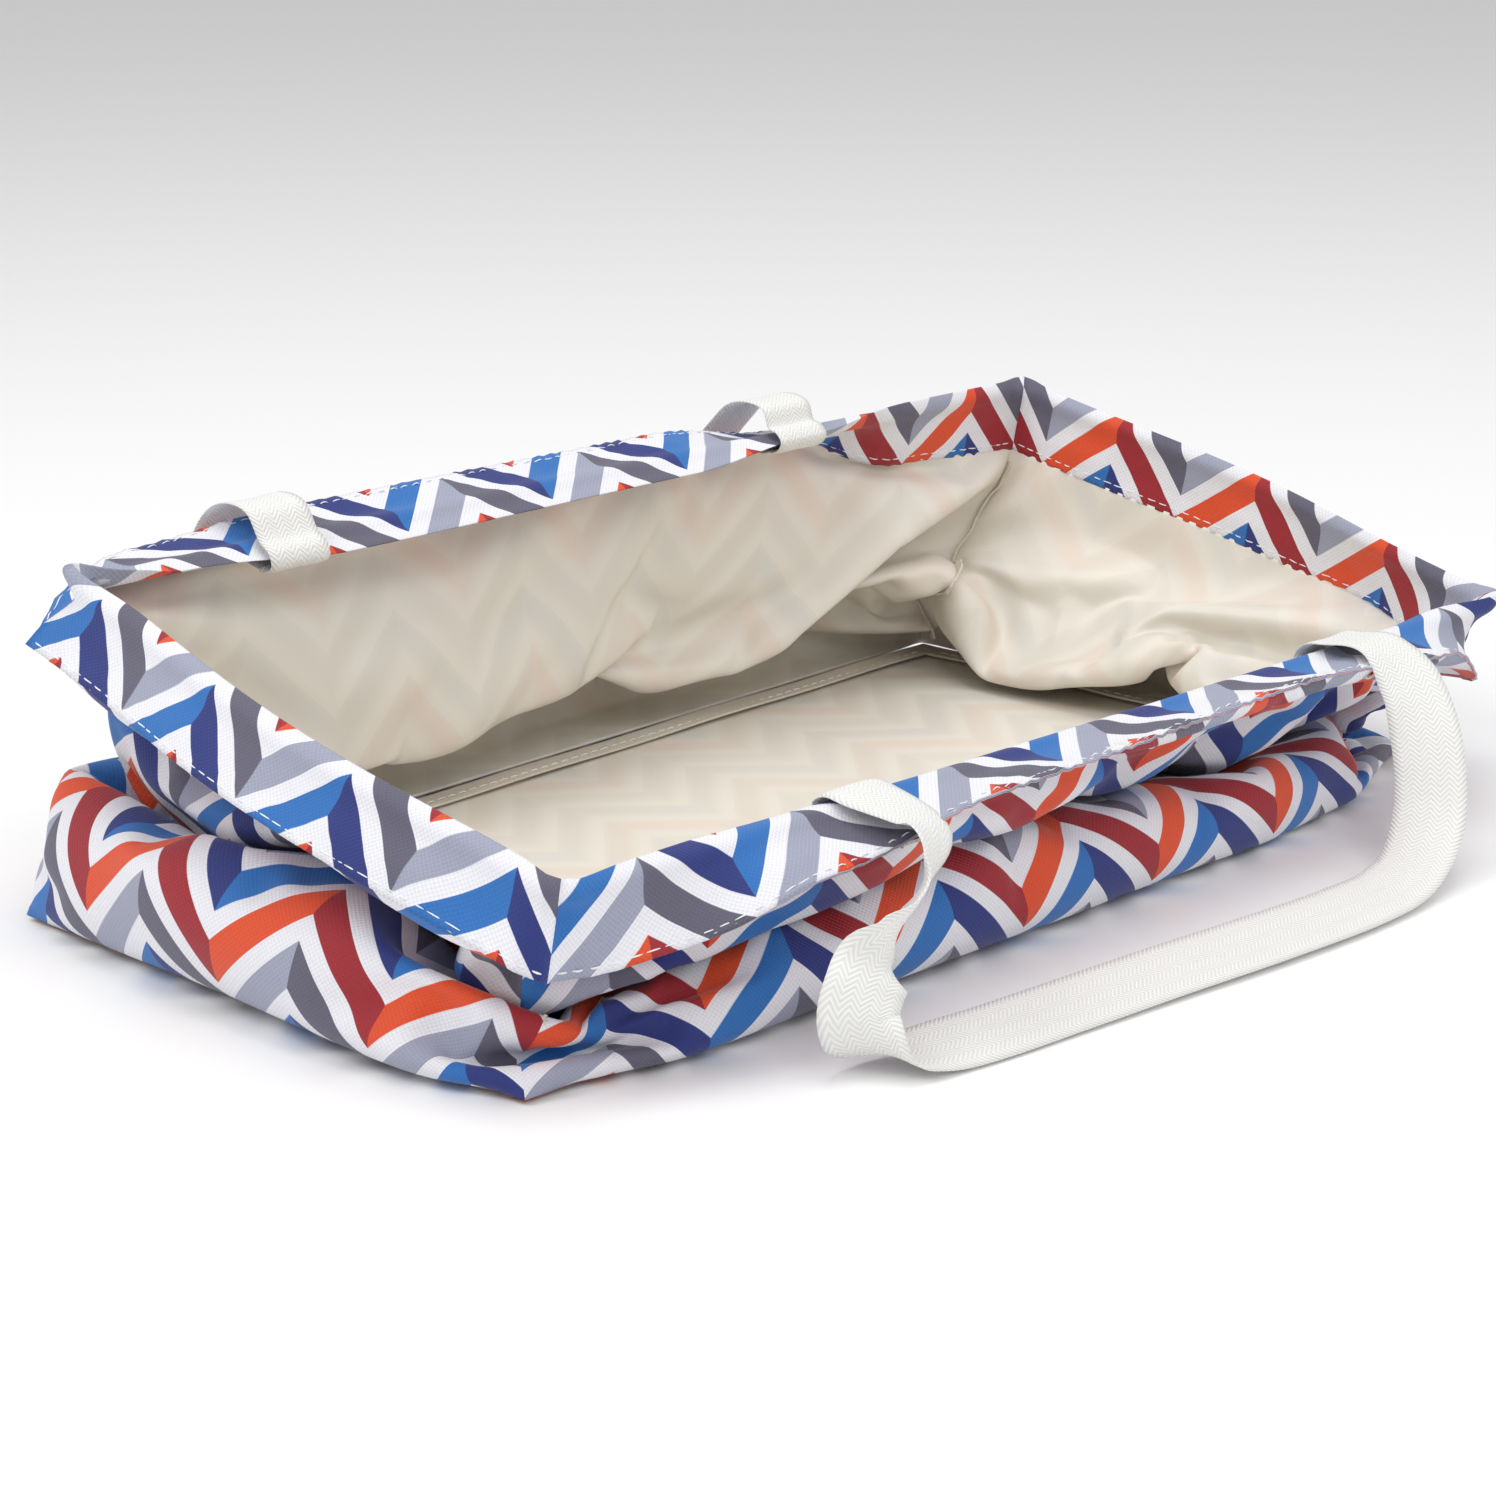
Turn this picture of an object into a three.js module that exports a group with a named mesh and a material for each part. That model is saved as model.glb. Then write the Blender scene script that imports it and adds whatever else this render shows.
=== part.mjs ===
// Laundry bag with a wire rim, shown half collapsed. Millimetres, +Z up.
// Origin: centre of the underside of the bottom panel. +X runs along the length, -Y is the front.
import * as THREE from 'three';

// ---- Driving dimensions -------------------------------------------------------------------------
const LENGTH = 600;              // outside length of the bottom and of the rim
const WIDTH = 305;               // outside width of the bottom and of the rim
const CLOTH = 1.2;               // thickness of one layer of coated cloth
const BOTTOM_THICKNESS = 1.6;
const GAP = 0.6;                 // air left between neighbouring solids
const WIRE_RADIUS = 2;
const RIM_CORNER_RADIUS = 12;
const BASE_CORNER_RADIUS = 8;
const END_BOW = 12;              // how far the spring wire bows out at the short ends
const HEM_WIDTH = 38;            // from the folded edge to the line of stitching
const WEBBING_WIDTH = 32;
const WEBBING_THICKNESS = 1.6;

// The rim as it lies: its centre above the bottom, and how it is tipped down at the front.
const RIM_CENTRE = new THREE.Vector3(12, -33, 116);
const RIM_TIP_DEGREES = 12;
const RIM_YAW_DEGREES = -2.8;

// Hem channel: the sleeve around the wire, drawn in its own section plane.
const SLEEVE_INNER_RADIUS = 3.5;
const SLEEVE_OUTER_RADIUS = SLEEVE_INNER_RADIUS + CLOTH;
const SLEEVE_APEX = 13;          // where the two layers come together
const HEM_REACH = HEM_WIDTH - SLEEVE_OUTER_RADIUS;
const HEM_EDGE_HALF = CLOTH + 0.1;

// Folds of the walls, as shares of the cloth's height.
const LOWER_LOBE_SHARE = 0.42;
const LOBE_OUT = { front: 40, right: 34, back: 34, left: 40 };
const FOLD_IN = { front: 62, right: 46, back: 40, left: 50 };
const FOLD_ROUNDNESS = 0.62;      // below 1 the folds are rounder than a sine wave
const WALL_STEPS = 20;

// Angle of each hem above the outward horizontal: at the start corner, mid side and end corner.
const HEM_ANGLE = {
  front: [-40, -5, -35],
  right: [-35, -92, -60],
  back: [-60, 8, -25],
  left: [-25, -50, -40],
};

const FERRULE_LENGTH = 34;
const FERRULE_INNER_RADIUS = 2.4;
const FERRULE_OUTER_RADIUS = 3.1;
const WIRE_END_GAP = 1;

const THREAD_RADIUS = 0.35;
const THREAD_FROM_EDGE = 3;
const BINDING_RADIUS = 1.1;
const BINDING_INSET = 3;
const BOTTOM_BINDING_INSET = 7;

const HANDLE_SPAN = 316;         // between the two legs of one handle
const FRONT_HANDLE_OFFSET = 16;
const BACK_HANDLE_OFFSET = -37;
const HANDLE_WRAP_RADIUS = SLEEVE_OUTER_RADIUS + GAP + WEBBING_THICKNESS / 2;
const TAB_START = 11;
const TAB_LENGTH = 21;

const UP = new THREE.Vector3(0, 0, 1);
const rad = THREE.MathUtils.degToRad;
const lerp = THREE.MathUtils.lerp;
const vec = (x, y, z) => new THREE.Vector3(x, y, z);

// The four sides, walked anticlockwise from the front left corner.
const SIDES = {
  front: { along: vec(1, 0, 0), out: vec(0, -1, 0), half: LENGTH / 2, reach: WIDTH / 2, bow: 0, straight: 18 },
  right: { along: vec(0, 1, 0), out: vec(1, 0, 0), half: WIDTH / 2, reach: LENGTH / 2, bow: END_BOW, straight: 14 },
  back: { along: vec(-1, 0, 0), out: vec(0, 1, 0), half: LENGTH / 2, reach: WIDTH / 2, bow: 0, straight: 18 },
  left: { along: vec(0, -1, 0), out: vec(-1, 0, 0), half: WIDTH / 2, reach: LENGTH / 2, bow: END_BOW, straight: 14 },
};
const CORNER_STEPS = 3;

// ---- Materials ----------------------------------------------------------------------------------
const material = (colour, roughness, metalness) =>
  new THREE.MeshStandardMaterial({ color: colour, roughness, metalness });
const PRINTED_CLOTH = material(0x2c4c9c, 0.75, 0);
const LINING_CLOTH = material(0xddd5c6, 0.6, 0);
const WEBBING = material(0xeeeeec, 0.8, 0);
const THREAD = material(0xf4f4f4, 0.7, 0);
const STEEL = material(0xb8bcc0, 0.35, 1);

// ---- Solids from rings --------------------------------------------------------------------------
function signedVolume(points, triangles) {
  let volume = 0;
  for (const [a, b, c] of triangles) {
    volume += points[a].dot(points[b].clone().cross(points[c])) / 6;
  }
  return volume;
}

function solid(name, points, triangles, look) {
  const facing = signedVolume(points, triangles) > 0 ? triangles : triangles.map(([a, b, c]) => [a, c, b]);
  const geometry = new THREE.BufferGeometry().setFromPoints(points);
  geometry.setIndex(facing.flat());
  geometry.computeVertexNormals();
  const mesh = new THREE.Mesh(geometry, look);
  mesh.name = name;
  return mesh;
}

// Joins equal rings of points into one closed body. A ring may hold an outline and a hole after it.
function loft(name, rings, loops, capTriangles, look) {
  const size = rings[0].length;
  const triangles = [];
  for (let r = 0; r + 1 < rings.length; r += 1) {
    let first = 0;
    for (const count of loops) {
      for (let i = 0; i < count; i += 1) {
        const a = r * size + first + i;
        const b = r * size + first + ((i + 1) % count);
        triangles.push([a, b, b + size], [a, b + size, a + size]);
      }
      first += count;
    }
  }
  const last = (rings.length - 1) * size;
  for (const [a, b, c] of capTriangles) {
    triangles.push([a, c, b], [a + last, b + last, c + last]);
  }
  return solid(name, rings.flat(), triangles, look);
}

function circle(radius, count) {
  return Array.from({ length: count }, (_, i) => {
    const angle = (2 * Math.PI * i) / count;
    return new THREE.Vector2(radius * Math.cos(angle), radius * Math.sin(angle));
  });
}

// Sweeps a flat section, with an optional hole, along stations that each hold a point and two directions.
// The hole runs round the other way, so that its wall faces into it.
function sweep(name, stations, outline, holeOutline, look) {
  const hole = [...holeOutline].reverse();
  const section = [...outline, ...hole];
  const rings = stations.map(({ point, u, v }) =>
    section.map((p) => point.clone().addScaledVector(u, p.x).addScaledVector(v, p.y)));
  const caps = THREE.ShapeUtils.triangulateShape([...outline], hole.length ? [[...hole]] : []);
  const loops = hole.length ? [outline.length, hole.length] : [outline.length];
  return loft(name, rings, loops, orientCaps(caps, outline, section), look);
}

// The end faces turn the same way as the outline does.
function orientCaps(caps, outline, section) {
  const turn = Math.sign(THREE.ShapeUtils.area(outline));
  return caps.map(([a, b, c]) => {
    const cross = (section[b].x - section[a].x) * (section[c].y - section[a].y)
      - (section[c].x - section[a].x) * (section[b].y - section[a].y);
    return Math.sign(cross) === turn ? [a, b, c] : [a, c, b];
  });
}

// A round cord along a list of points. The section never turns about the cord.
function cord(name, path, radius, sides, look) {
  const stations = path.map((point, i) => {
    const before = path[Math.max(i - 1, 0)];
    const after = path[Math.min(i + 1, path.length - 1)];
    const tangent = after.clone().sub(before).normalize();
    const side = Math.abs(tangent.z) > 0.95 ? vec(1, 0, 0) : UP;
    const u = new THREE.Vector3().crossVectors(tangent, side).normalize();
    return { point, u, v: new THREE.Vector3().crossVectors(u, tangent).normalize(), tangent };
  });
  for (let i = 1; i < stations.length; i += 1) {
    const kept = stations[i - 1].u.clone();
    const { tangent } = stations[i];
    stations[i].u = kept.addScaledVector(tangent, -kept.dot(tangent)).normalize();
    stations[i].v = new THREE.Vector3().crossVectors(stations[i].u, tangent).normalize();
  }
  return sweep(name, stations, circle(radius, sides), [], look);
}

// ---- Outlines of the bottom and of the rim ------------------------------------------------------
// One side from the middle of its start corner to the middle of its end corner.
function sideStations(side, radius, bow, straightSteps) {
  const { along, out, half, reach } = side;
  const list = [];
  const add = (s, o, turn) => {
    const point = along.clone().multiplyScalar(s).addScaledVector(out, reach + o);
    const normal = out.clone().multiplyScalar(Math.cos(turn)).addScaledVector(along, Math.sin(turn));
    list.push({ point, normal, share: s / (half - radius * (1 - Math.SQRT1_2)) });
  };
  for (let i = 0; i < CORNER_STEPS; i += 1) {
    const turn = (Math.PI / 4) * (1 - i / CORNER_STEPS);
    add(-half + radius - radius * Math.sin(turn), -radius + radius * Math.cos(turn), -turn);
  }
  const run = half - radius;
  for (let i = 0; i <= straightSteps; i += 1) {
    const s = lerp(-run, run, i / straightSteps);
    add(s, bow * Math.cos((Math.PI * s) / (2 * run)) ** 2, 0);
  }
  for (let i = 1; i <= CORNER_STEPS; i += 1) {
    const turn = (Math.PI / 4) * (i / CORNER_STEPS);
    add(half - radius + radius * Math.sin(turn), -radius + radius * Math.cos(turn), turn);
  }
  return list;
}

const rimTurn = new THREE.Matrix4().makeRotationFromEuler(
  new THREE.Euler(rad(RIM_TIP_DEGREES), 0, rad(RIM_YAW_DEGREES), 'ZYX'));
const rimPlace = rimTurn.clone().setPosition(RIM_CENTRE);

// Smooth angle of a hem along its side. share runs from -1 to 1.
function hemAngle(name, share) {
  const [start, middle, end] = HEM_ANGLE[name];
  const side = share < 0 ? start : end;
  const ease = 0.5 - 0.5 * Math.cos(Math.PI * Math.min(1, Math.abs(share)));
  return rad(lerp(middle, side, ease));
}

// Stations on the wire with the directions of the hem: u along the hem's width, v out of its printed face.
function hemStations(name) {
  const side = SIDES[name];
  return sideStations(side, RIM_CORNER_RADIUS, side.bow, side.straight).map(({ point, normal, share }) => {
    const angle = hemAngle(name, share);
    const u = normal.clone().multiplyScalar(Math.cos(angle)).addScaledVector(UP, Math.sin(angle));
    const v = normal.clone().multiplyScalar(-Math.sin(angle)).addScaledVector(UP, Math.cos(angle));
    return {
      point: point.clone().applyMatrix4(rimPlace),
      u: u.transformDirection(rimTurn),
      v: v.transformDirection(rimTurn),
      share,
    };
  });
}

// Moves the two end stations in by a little, so that neighbours keep an air gap.
function pulledIn(stations, distance) {
  const list = stations.map((s) => ({ ...s, point: s.point.clone() }));
  const pull = (end, inner) => {
    const step = list[inner].point.clone().sub(list[end].point);
    list[end].point.addScaledVector(step.normalize(), distance);
  };
  pull(0, 1);
  pull(list.length - 1, list.length - 2);
  return list;
}

// ---- Hems, their stitching, and the wire --------------------------------------------------------
function hemOutline() {
  const points = [new THREE.Vector2(HEM_REACH, HEM_EDGE_HALF)];
  for (let degrees = 85; degrees <= 275; degrees += 19) {
    const angle = rad(degrees);
    points.push(new THREE.Vector2(SLEEVE_OUTER_RADIUS * Math.cos(angle), SLEEVE_OUTER_RADIUS * Math.sin(angle)));
  }
  points.push(new THREE.Vector2(HEM_REACH, -HEM_EDGE_HALF));
  return points;
}

function hemHole() {
  const points = [new THREE.Vector2(SLEEVE_APEX, 0)];
  for (let degrees = 75; degrees <= 285; degrees += 21) {
    const angle = rad(degrees);
    points.push(new THREE.Vector2(SLEEVE_INNER_RADIUS * Math.cos(angle), SLEEVE_INNER_RADIUS * Math.sin(angle)));
  }
  return points;
}

function hem(name) {
  return sweep(`hem_${name}`, pulledIn(hemStations(name), GAP), hemOutline(), hemHole(), PRINTED_CLOTH);
}

// Offset of the hem's printed face from its middle plane, at a distance from the wire.
function hemFace(distance) {
  return lerp(SLEEVE_OUTER_RADIUS, HEM_EDGE_HALF, distance / HEM_REACH);
}

function topstitch(name) {
  const distance = HEM_REACH - THREAD_FROM_EDGE;
  const height = hemFace(distance) + 1.5 * GAP + THREAD_RADIUS;
  const path = pulledIn(hemStations(name), GAP).slice(1, -1).map(({ point, u, v }) =>
    point.clone().addScaledVector(u, distance).addScaledVector(v, height));
  return cord(`topstitch_${name}`, path, THREAD_RADIUS, 5, THREAD);
}

// The whole wire, starting and ending at the middle of the back.
function wirePath() {
  const plan = (name, steps) => sideStations(SIDES[name], RIM_CORNER_RADIUS, SIDES[name].bow, steps);
  const back = plan('back', 2);
  const middle = back.findIndex(({ share }) => Math.abs(share) < 1e-6);
  const loop = [
    ...back.slice(middle),
    ...plan('left', 14).slice(1),
    ...plan('front', 2).slice(1),
    ...plan('right', 14).slice(1),
    ...back.slice(1, middle + 1),
  ].map(({ point }) => point.clone());
  loop[0].x -= WIRE_END_GAP / 2;
  loop[loop.length - 1].x += WIRE_END_GAP / 2;
  return loop.map((point) => point.applyMatrix4(rimPlace));
}

function ferrule() {
  const u = vec(0, 1, 0).transformDirection(rimTurn);
  const v = UP.clone().transformDirection(rimTurn);
  const stations = [-FERRULE_LENGTH / 2, FERRULE_LENGTH / 2].map((x) => ({
    point: vec(x, WIDTH / 2, 0).applyMatrix4(rimPlace), u, v,
  }));
  const outline = circle(FERRULE_OUTER_RADIUS, 20);
  return sweep('wire_ferrule', stations, outline, circle(FERRULE_INNER_RADIUS, 20), STEEL);
}

// ---- Walls, bottom and seam bindings ------------------------------------------------------------
const WALL_FOOT = BOTTOM_THICKNESS + GAP + CLOTH / 2;
const WALL_HEAD_BACK = 3;        // the wall's top edge stops this far short of the hem's edge
const WALL_HEAD_BELOW = 5.8;     // and this far behind the hem's printed face

function fold(name, t) {
  if (t < LOWER_LOBE_SHARE) {
    return LOBE_OUT[name] * Math.sin((Math.PI * t) / LOWER_LOBE_SHARE) ** FOLD_ROUNDNESS;
  }
  const share = (t - LOWER_LOBE_SHARE) / (1 - LOWER_LOBE_SHARE);
  return -FOLD_IN[name] * Math.max(0, Math.sin(Math.PI * share)) ** FOLD_ROUNDNESS;
}

// Fold depth that agrees with the neighbouring wall at each corner.
function foldAt(name, share, t) {
  const names = Object.keys(SIDES);
  const index = names.indexOf(name);
  const neighbour = names[(index + (share < 0 ? 3 : 1)) % 4];
  const shared = (fold(name, t) + fold(neighbour, t)) / 2;
  return lerp(fold(name, t), shared, Math.min(1, Math.abs(share)) ** 4);
}

// Middle line of a wall's cloth from the bottom up, at one station.
function wallLine(name, foot, head) {
  const { along, out } = SIDES[name];
  return Array.from({ length: WALL_STEPS + 1 }, (_, i) => {
    const t = i / WALL_STEPS;
    const depth = foldAt(name, foot.share, t);
    return foot.point.clone().lerp(head.point, t)
      .addScaledVector(out, depth)
      .addScaledVector(along, depth * foot.share);
  });
}

function wallLines(name) {
  const side = SIDES[name];
  const feet = sideStations(side, BASE_CORNER_RADIUS, 0, side.straight);
  const heads = hemStations(name);
  return feet.map((foot, i) => {
    const head = heads[i].point.clone()
      .addScaledVector(heads[i].u, HEM_REACH - WALL_HEAD_BACK)
      .addScaledVector(heads[i].v, -WALL_HEAD_BELOW);
    return wallLine(name, { point: foot.point.clone().setZ(WALL_FOOT), share: foot.share }, { point: head });
  });
}

// Both faces of a sheet of cloth around its middle lines.
function sheetRing(lines, i) {
  const here = lines[i];
  const before = lines[Math.max(i - 1, 0)];
  const after = lines[Math.min(i + 1, lines.length - 1)];
  const outer = [];
  const inner = [];
  here.forEach((point, j) => {
    const rise = here[Math.min(j + 1, here.length - 1)].clone().sub(here[Math.max(j - 1, 0)]);
    const run = after[j].clone().sub(before[j]);
    const normal = run.cross(rise).normalize();
    outer.push(point.clone().addScaledVector(normal, CLOTH / 2));
    inner.push(point.clone().addScaledVector(normal, -CLOTH / 2));
  });
  return [...outer, ...inner.reverse()];
}

function wall(name) {
  const lines = wallLines(name);
  const trimmed = lines.map((line) => line.map((p) => p.clone()));
  const pull = (end, inner) => trimmed[end].forEach((p, j) => {
    p.addScaledVector(lines[inner][j].clone().sub(lines[end][j]).normalize(), CLOTH);
  });
  pull(0, 1);
  pull(lines.length - 1, lines.length - 2);
  const rings = trimmed.map((_, i) => sheetRing(trimmed, i));
  const count = rings[0].length;
  const caps = [];
  for (let j = 0; j < WALL_STEPS; j += 1) {
    const opposite = count - 1 - j;
    caps.push([j, j + 1, opposite - 1], [j, opposite - 1, opposite]);
  }
  return loft(`wall_${name}`, rings, [count], caps, PRINTED_CLOTH);
}

// Seam binding up the inside of the corner where a wall starts.
function cornerBinding(name, label) {
  const line = wallLines(name)[0];
  const { along, out } = SIDES[name];
  const diagonal = out.clone().sub(along).normalize();
  const path = line.slice(2, -2).map((point, j) => {
    const rise = line[j + 3].clone().sub(line[j + 1]);
    const side = rise.dot(diagonal);
    const inward = diagonal.clone().multiplyScalar(-rise.z).addScaledVector(UP, side).normalize();
    return point.clone().addScaledVector(inward, BINDING_INSET);
  });
  return cord(`corner_binding_${label}`, path, BINDING_RADIUS, 6, LINING_CLOTH);
}

function roundedRectangle(length, width, radius) {
  const x = length / 2;
  const y = width / 2;
  const shape = new THREE.Shape();
  shape.moveTo(-x + radius, -y);
  shape.lineTo(x - radius, -y);
  shape.absarc(x - radius, -y + radius, radius, -Math.PI / 2, 0, false);
  shape.absarc(x - radius, y - radius, radius, 0, Math.PI / 2, false);
  shape.absarc(-x + radius, y - radius, radius, Math.PI / 2, Math.PI, false);
  shape.absarc(-x + radius, -y + radius, radius, Math.PI, 1.5 * Math.PI, false);
  return shape;
}

// A flat frame or plate cut from cloth and lying level.
function plate(name, shape, bottom, thickness, look) {
  const geometry = new THREE.ExtrudeGeometry(shape, { depth: thickness, bevelEnabled: false, curveSegments: 6 });
  geometry.translate(0, 0, bottom);
  const mesh = new THREE.Mesh(geometry, look);
  mesh.name = name;
  return mesh;
}

function bottomPanel() {
  const shape = roundedRectangle(LENGTH, WIDTH, BASE_CORNER_RADIUS);
  return plate('bottom_panel', shape, 0, BOTTOM_THICKNESS, PRINTED_CLOTH);
}

function bottomBinding() {
  const inset = 2 * BOTTOM_BINDING_INSET;
  const band = 4 * BINDING_RADIUS;
  const shape = roundedRectangle(LENGTH - inset, WIDTH - inset, BASE_CORNER_RADIUS);
  shape.holes.push(roundedRectangle(LENGTH - inset - 2 * band, WIDTH - inset - 2 * band, BASE_CORNER_RADIUS / 2));
  return plate('bottom_seam_binding', shape, BOTTOM_THICKNESS + GAP, BINDING_RADIUS, LINING_CLOTH);
}

// ---- Handles ------------------------------------------------------------------------------------
// A point near the wire of a long side: x along the rim, then polar about the wire.
function aboutWire(side, x, degrees, radius) {
  const angle = rad(degrees);
  const outward = WIDTH / 2 + radius * Math.cos(angle);
  return vec(x, side * outward, radius * Math.sin(angle)).applyMatrix4(rimPlace);
}

// A flat strap along key points. Each key holds its point and the direction of the strap's width.
function strap(name, keys, steps) {
  const path = new THREE.CatmullRomCurve3(keys.map((key) => key.point), false, 'centripetal');
  const widths = new THREE.CatmullRomCurve3(keys.map((key) => key.width), false, 'catmullrom');
  const rings = [];
  for (let i = 0; i <= steps; i += 1) {
    const at = i / steps;
    const point = path.getPoint(at);
    const tangent = path.getTangent(at);
    const across = widths.getPoint(at);
    across.addScaledVector(tangent, -across.dot(tangent)).normalize();
    const face = new THREE.Vector3().crossVectors(tangent, across);
    const corner = (a, b) => point.clone()
      .addScaledVector(across, (a * WEBBING_WIDTH) / 2)
      .addScaledVector(face, (b * WEBBING_THICKNESS) / 2);
    rings.push([corner(-1, -1), corner(1, -1), corner(1, 1), corner(-1, 1)]);
  }
  return loft(name, rings, [4], [[0, 1, 2], [0, 2, 3]], WEBBING);
}

const key = (x, y, z, wx, wy, wz) => ({ point: vec(x, y, z), width: vec(wx, wy, wz) });
const rimAxis = vec(1, 0, 0).transformDirection(rimTurn);

// The turn of a strap over the wire, from the bag's inside to the top of the hem.
function wrap(side, x, degrees) {
  return degrees.map((d) => ({ point: aboutWire(side, x, d, HANDLE_WRAP_RADIUS), width: rimAxis.clone() }));
}

// The front handle falls outward over the hem and lies along the floor.
function frontHandle() {
  const left = FRONT_HANDLE_OFFSET - HANDLE_SPAN / 2;
  const right = FRONT_HANDLE_OFFSET + HANDLE_SPAN / 2;
  const keys = [
    ...wrap(-1, left, [184, 150, 118, 88]),
    { point: aboutWire(-1, left + 3, 38, 20), width: rimAxis.clone() },
    key(-135, -210, 80, 0.95, 0.3, -0.1),
    key(-147, -219, 67, 0.85, 0.5, 0),
    key(-160, -222, 58, 0.8, 0.58, 0),
    key(-175, -224, 48, 0.92, 0.2, 0.2),
    key(-190, -226, 37, 0.88, -0.35, 0.25),
    key(-197, -228, 23, 0.75, -0.62, 0.1),
    key(-190, -231, 11, 0.5, -0.86, 0),
    key(-172, -236, 6.5, 0.25, -0.95, -0.2),
    key(-145, -242, 6, 0.1, -0.96, -0.27),
    key(-97, -248, 6, 0.06, -0.96, -0.27),
    key(-41, -255, 6, 0.06, -0.96, -0.27),
    key(18, -263, 6, 0.06, -0.96, -0.27),
    key(80, -268, 6, 0.05, -0.96, -0.25),
    key(116, -267, 7, 0.1, -0.97, -0.2),
    key(142, -262, 13, 0.4, -0.9, 0),
    key(160, -256, 28, 0.6, -0.8, 0),
    key(171, -246, 54, 0.67, -0.74, 0),
    key(178, -232, 77, 0.85, -0.5, 0),
    { point: aboutWire(-1, right + 2, 38, 21), width: rimAxis.clone() },
    ...wrap(-1, right, [88, 118, 150, 184]),
  ];
  return strap('handle_front', keys, 120);
}

// The back handle stands a little above the rim and falls behind the bag.
function backHandle() {
  const left = BACK_HANDLE_OFFSET - HANDLE_SPAN / 2;
  const right = BACK_HANDLE_OFFSET + HANDLE_SPAN / 2;
  const arch = (x) => [
    [158, 10, x], [122, 13, x], [88, 16, x], [55, 21, x], [22, 29, x], [-6, 38, x],
  ].map(([degrees, radius]) => ({ point: aboutWire(1, x, degrees, radius), width: rimAxis.clone() }));
  const keys = [
    ...wrap(1, left, [186]),
    ...arch(left),
    key(-177, 186, 100, 1, 0, 0),
    key(-180, 214, 56, 1, 0, 0.1),
    key(-168, 226, 22, 0.75, 0.1, 0.65),
    key(-136, 231, 17.4, 0.1, 0.1, 1),
    key(-60, 234, 17, 0, 0.12, 1),
    key(30, 234, 17, 0, 0.12, 1),
    key(94, 231, 17.4, -0.1, 0.1, 1),
    key(130, 226, 22, -0.75, 0.1, 0.65),
    key(140, 214, 56, -1, 0, 0.1),
    key(134, 186, 100, -1, 0, 0),
    ...arch(right).reverse().map(({ point, width }) => ({ point, width: width.negate() })),
    ...wrap(1, right, [186]).map(({ point, width }) => ({ point, width: width.negate() })),
  ];
  return strap('handle_back', keys, 120);
}

// The sewn end of a handle, flat against the inner layer of the hem.
function handleTab(sideName, x, label) {
  const sign = sideName === 'front' ? -1 : 1;
  const along = sideName === 'front' ? 1 : -1;
  const half = SIDES[sideName].half - RIM_CORNER_RADIUS * (1 - Math.SQRT1_2);
  const stations = [-1, -0.5, 0, 0.5, 1].map((edge) => {
    const at = x + (edge * WEBBING_WIDTH) / 2;
    const angle = hemAngle(sideName, (along * at) / half);
    const normal = vec(0, sign, 0);
    const u = normal.clone().multiplyScalar(Math.cos(angle)).addScaledVector(UP, Math.sin(angle));
    const v = normal.clone().multiplyScalar(-Math.sin(angle)).addScaledVector(UP, Math.cos(angle));
    return {
      point: vec(at, (sign * WIDTH) / 2, 0).applyMatrix4(rimPlace),
      u: u.transformDirection(rimTurn),
      v: v.transformDirection(rimTurn),
    };
  });
  const near = -hemFace(TAB_START) - 1.8 * GAP;
  const far = -hemFace(TAB_START + TAB_LENGTH) - 1.8 * GAP;
  const outline = [
    new THREE.Vector2(TAB_START, near - WEBBING_THICKNESS),
    new THREE.Vector2(TAB_START + TAB_LENGTH, far - WEBBING_THICKNESS),
    new THREE.Vector2(TAB_START + TAB_LENGTH, far),
    new THREE.Vector2(TAB_START, near),
  ];
  return sweep(`handle_end_${label}`, stations, outline, [], WEBBING);
}

// ---- The bag ------------------------------------------------------------------------------------
const bag = new THREE.Group();
bag.name = 'laundry_bag';
bag.add(bottomPanel(), bottomBinding());
for (const name of Object.keys(SIDES)) {
  bag.add(wall(name), hem(name), topstitch(name));
}
bag.add(
  cornerBinding('front', 'front_left'),
  cornerBinding('right', 'front_right'),
  cornerBinding('back', 'back_right'),
  cornerBinding('left', 'back_left'),
  cord('rim_wire', wirePath(), WIRE_RADIUS, 10, STEEL),
  ferrule(),
  frontHandle(),
  backHandle(),
  handleTab('front', FRONT_HANDLE_OFFSET - HANDLE_SPAN / 2, 'front_left'),
  handleTab('front', FRONT_HANDLE_OFFSET + HANDLE_SPAN / 2, 'front_right'),
  handleTab('back', BACK_HANDLE_OFFSET - HANDLE_SPAN / 2, 'back_left'),
  handleTab('back', BACK_HANDLE_OFFSET + HANDLE_SPAN / 2, 'back_right'),
);

export default bag;
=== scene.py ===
"""Collapsed laundry bag: printed cloth on a wire rim, with webbing handles.

The scene is in metres. Helper functions work in millimetres, and new_object turns them into metres.
"""

import math

import bpy
import numpy as np
from mathutils import Matrix, Vector


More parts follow.
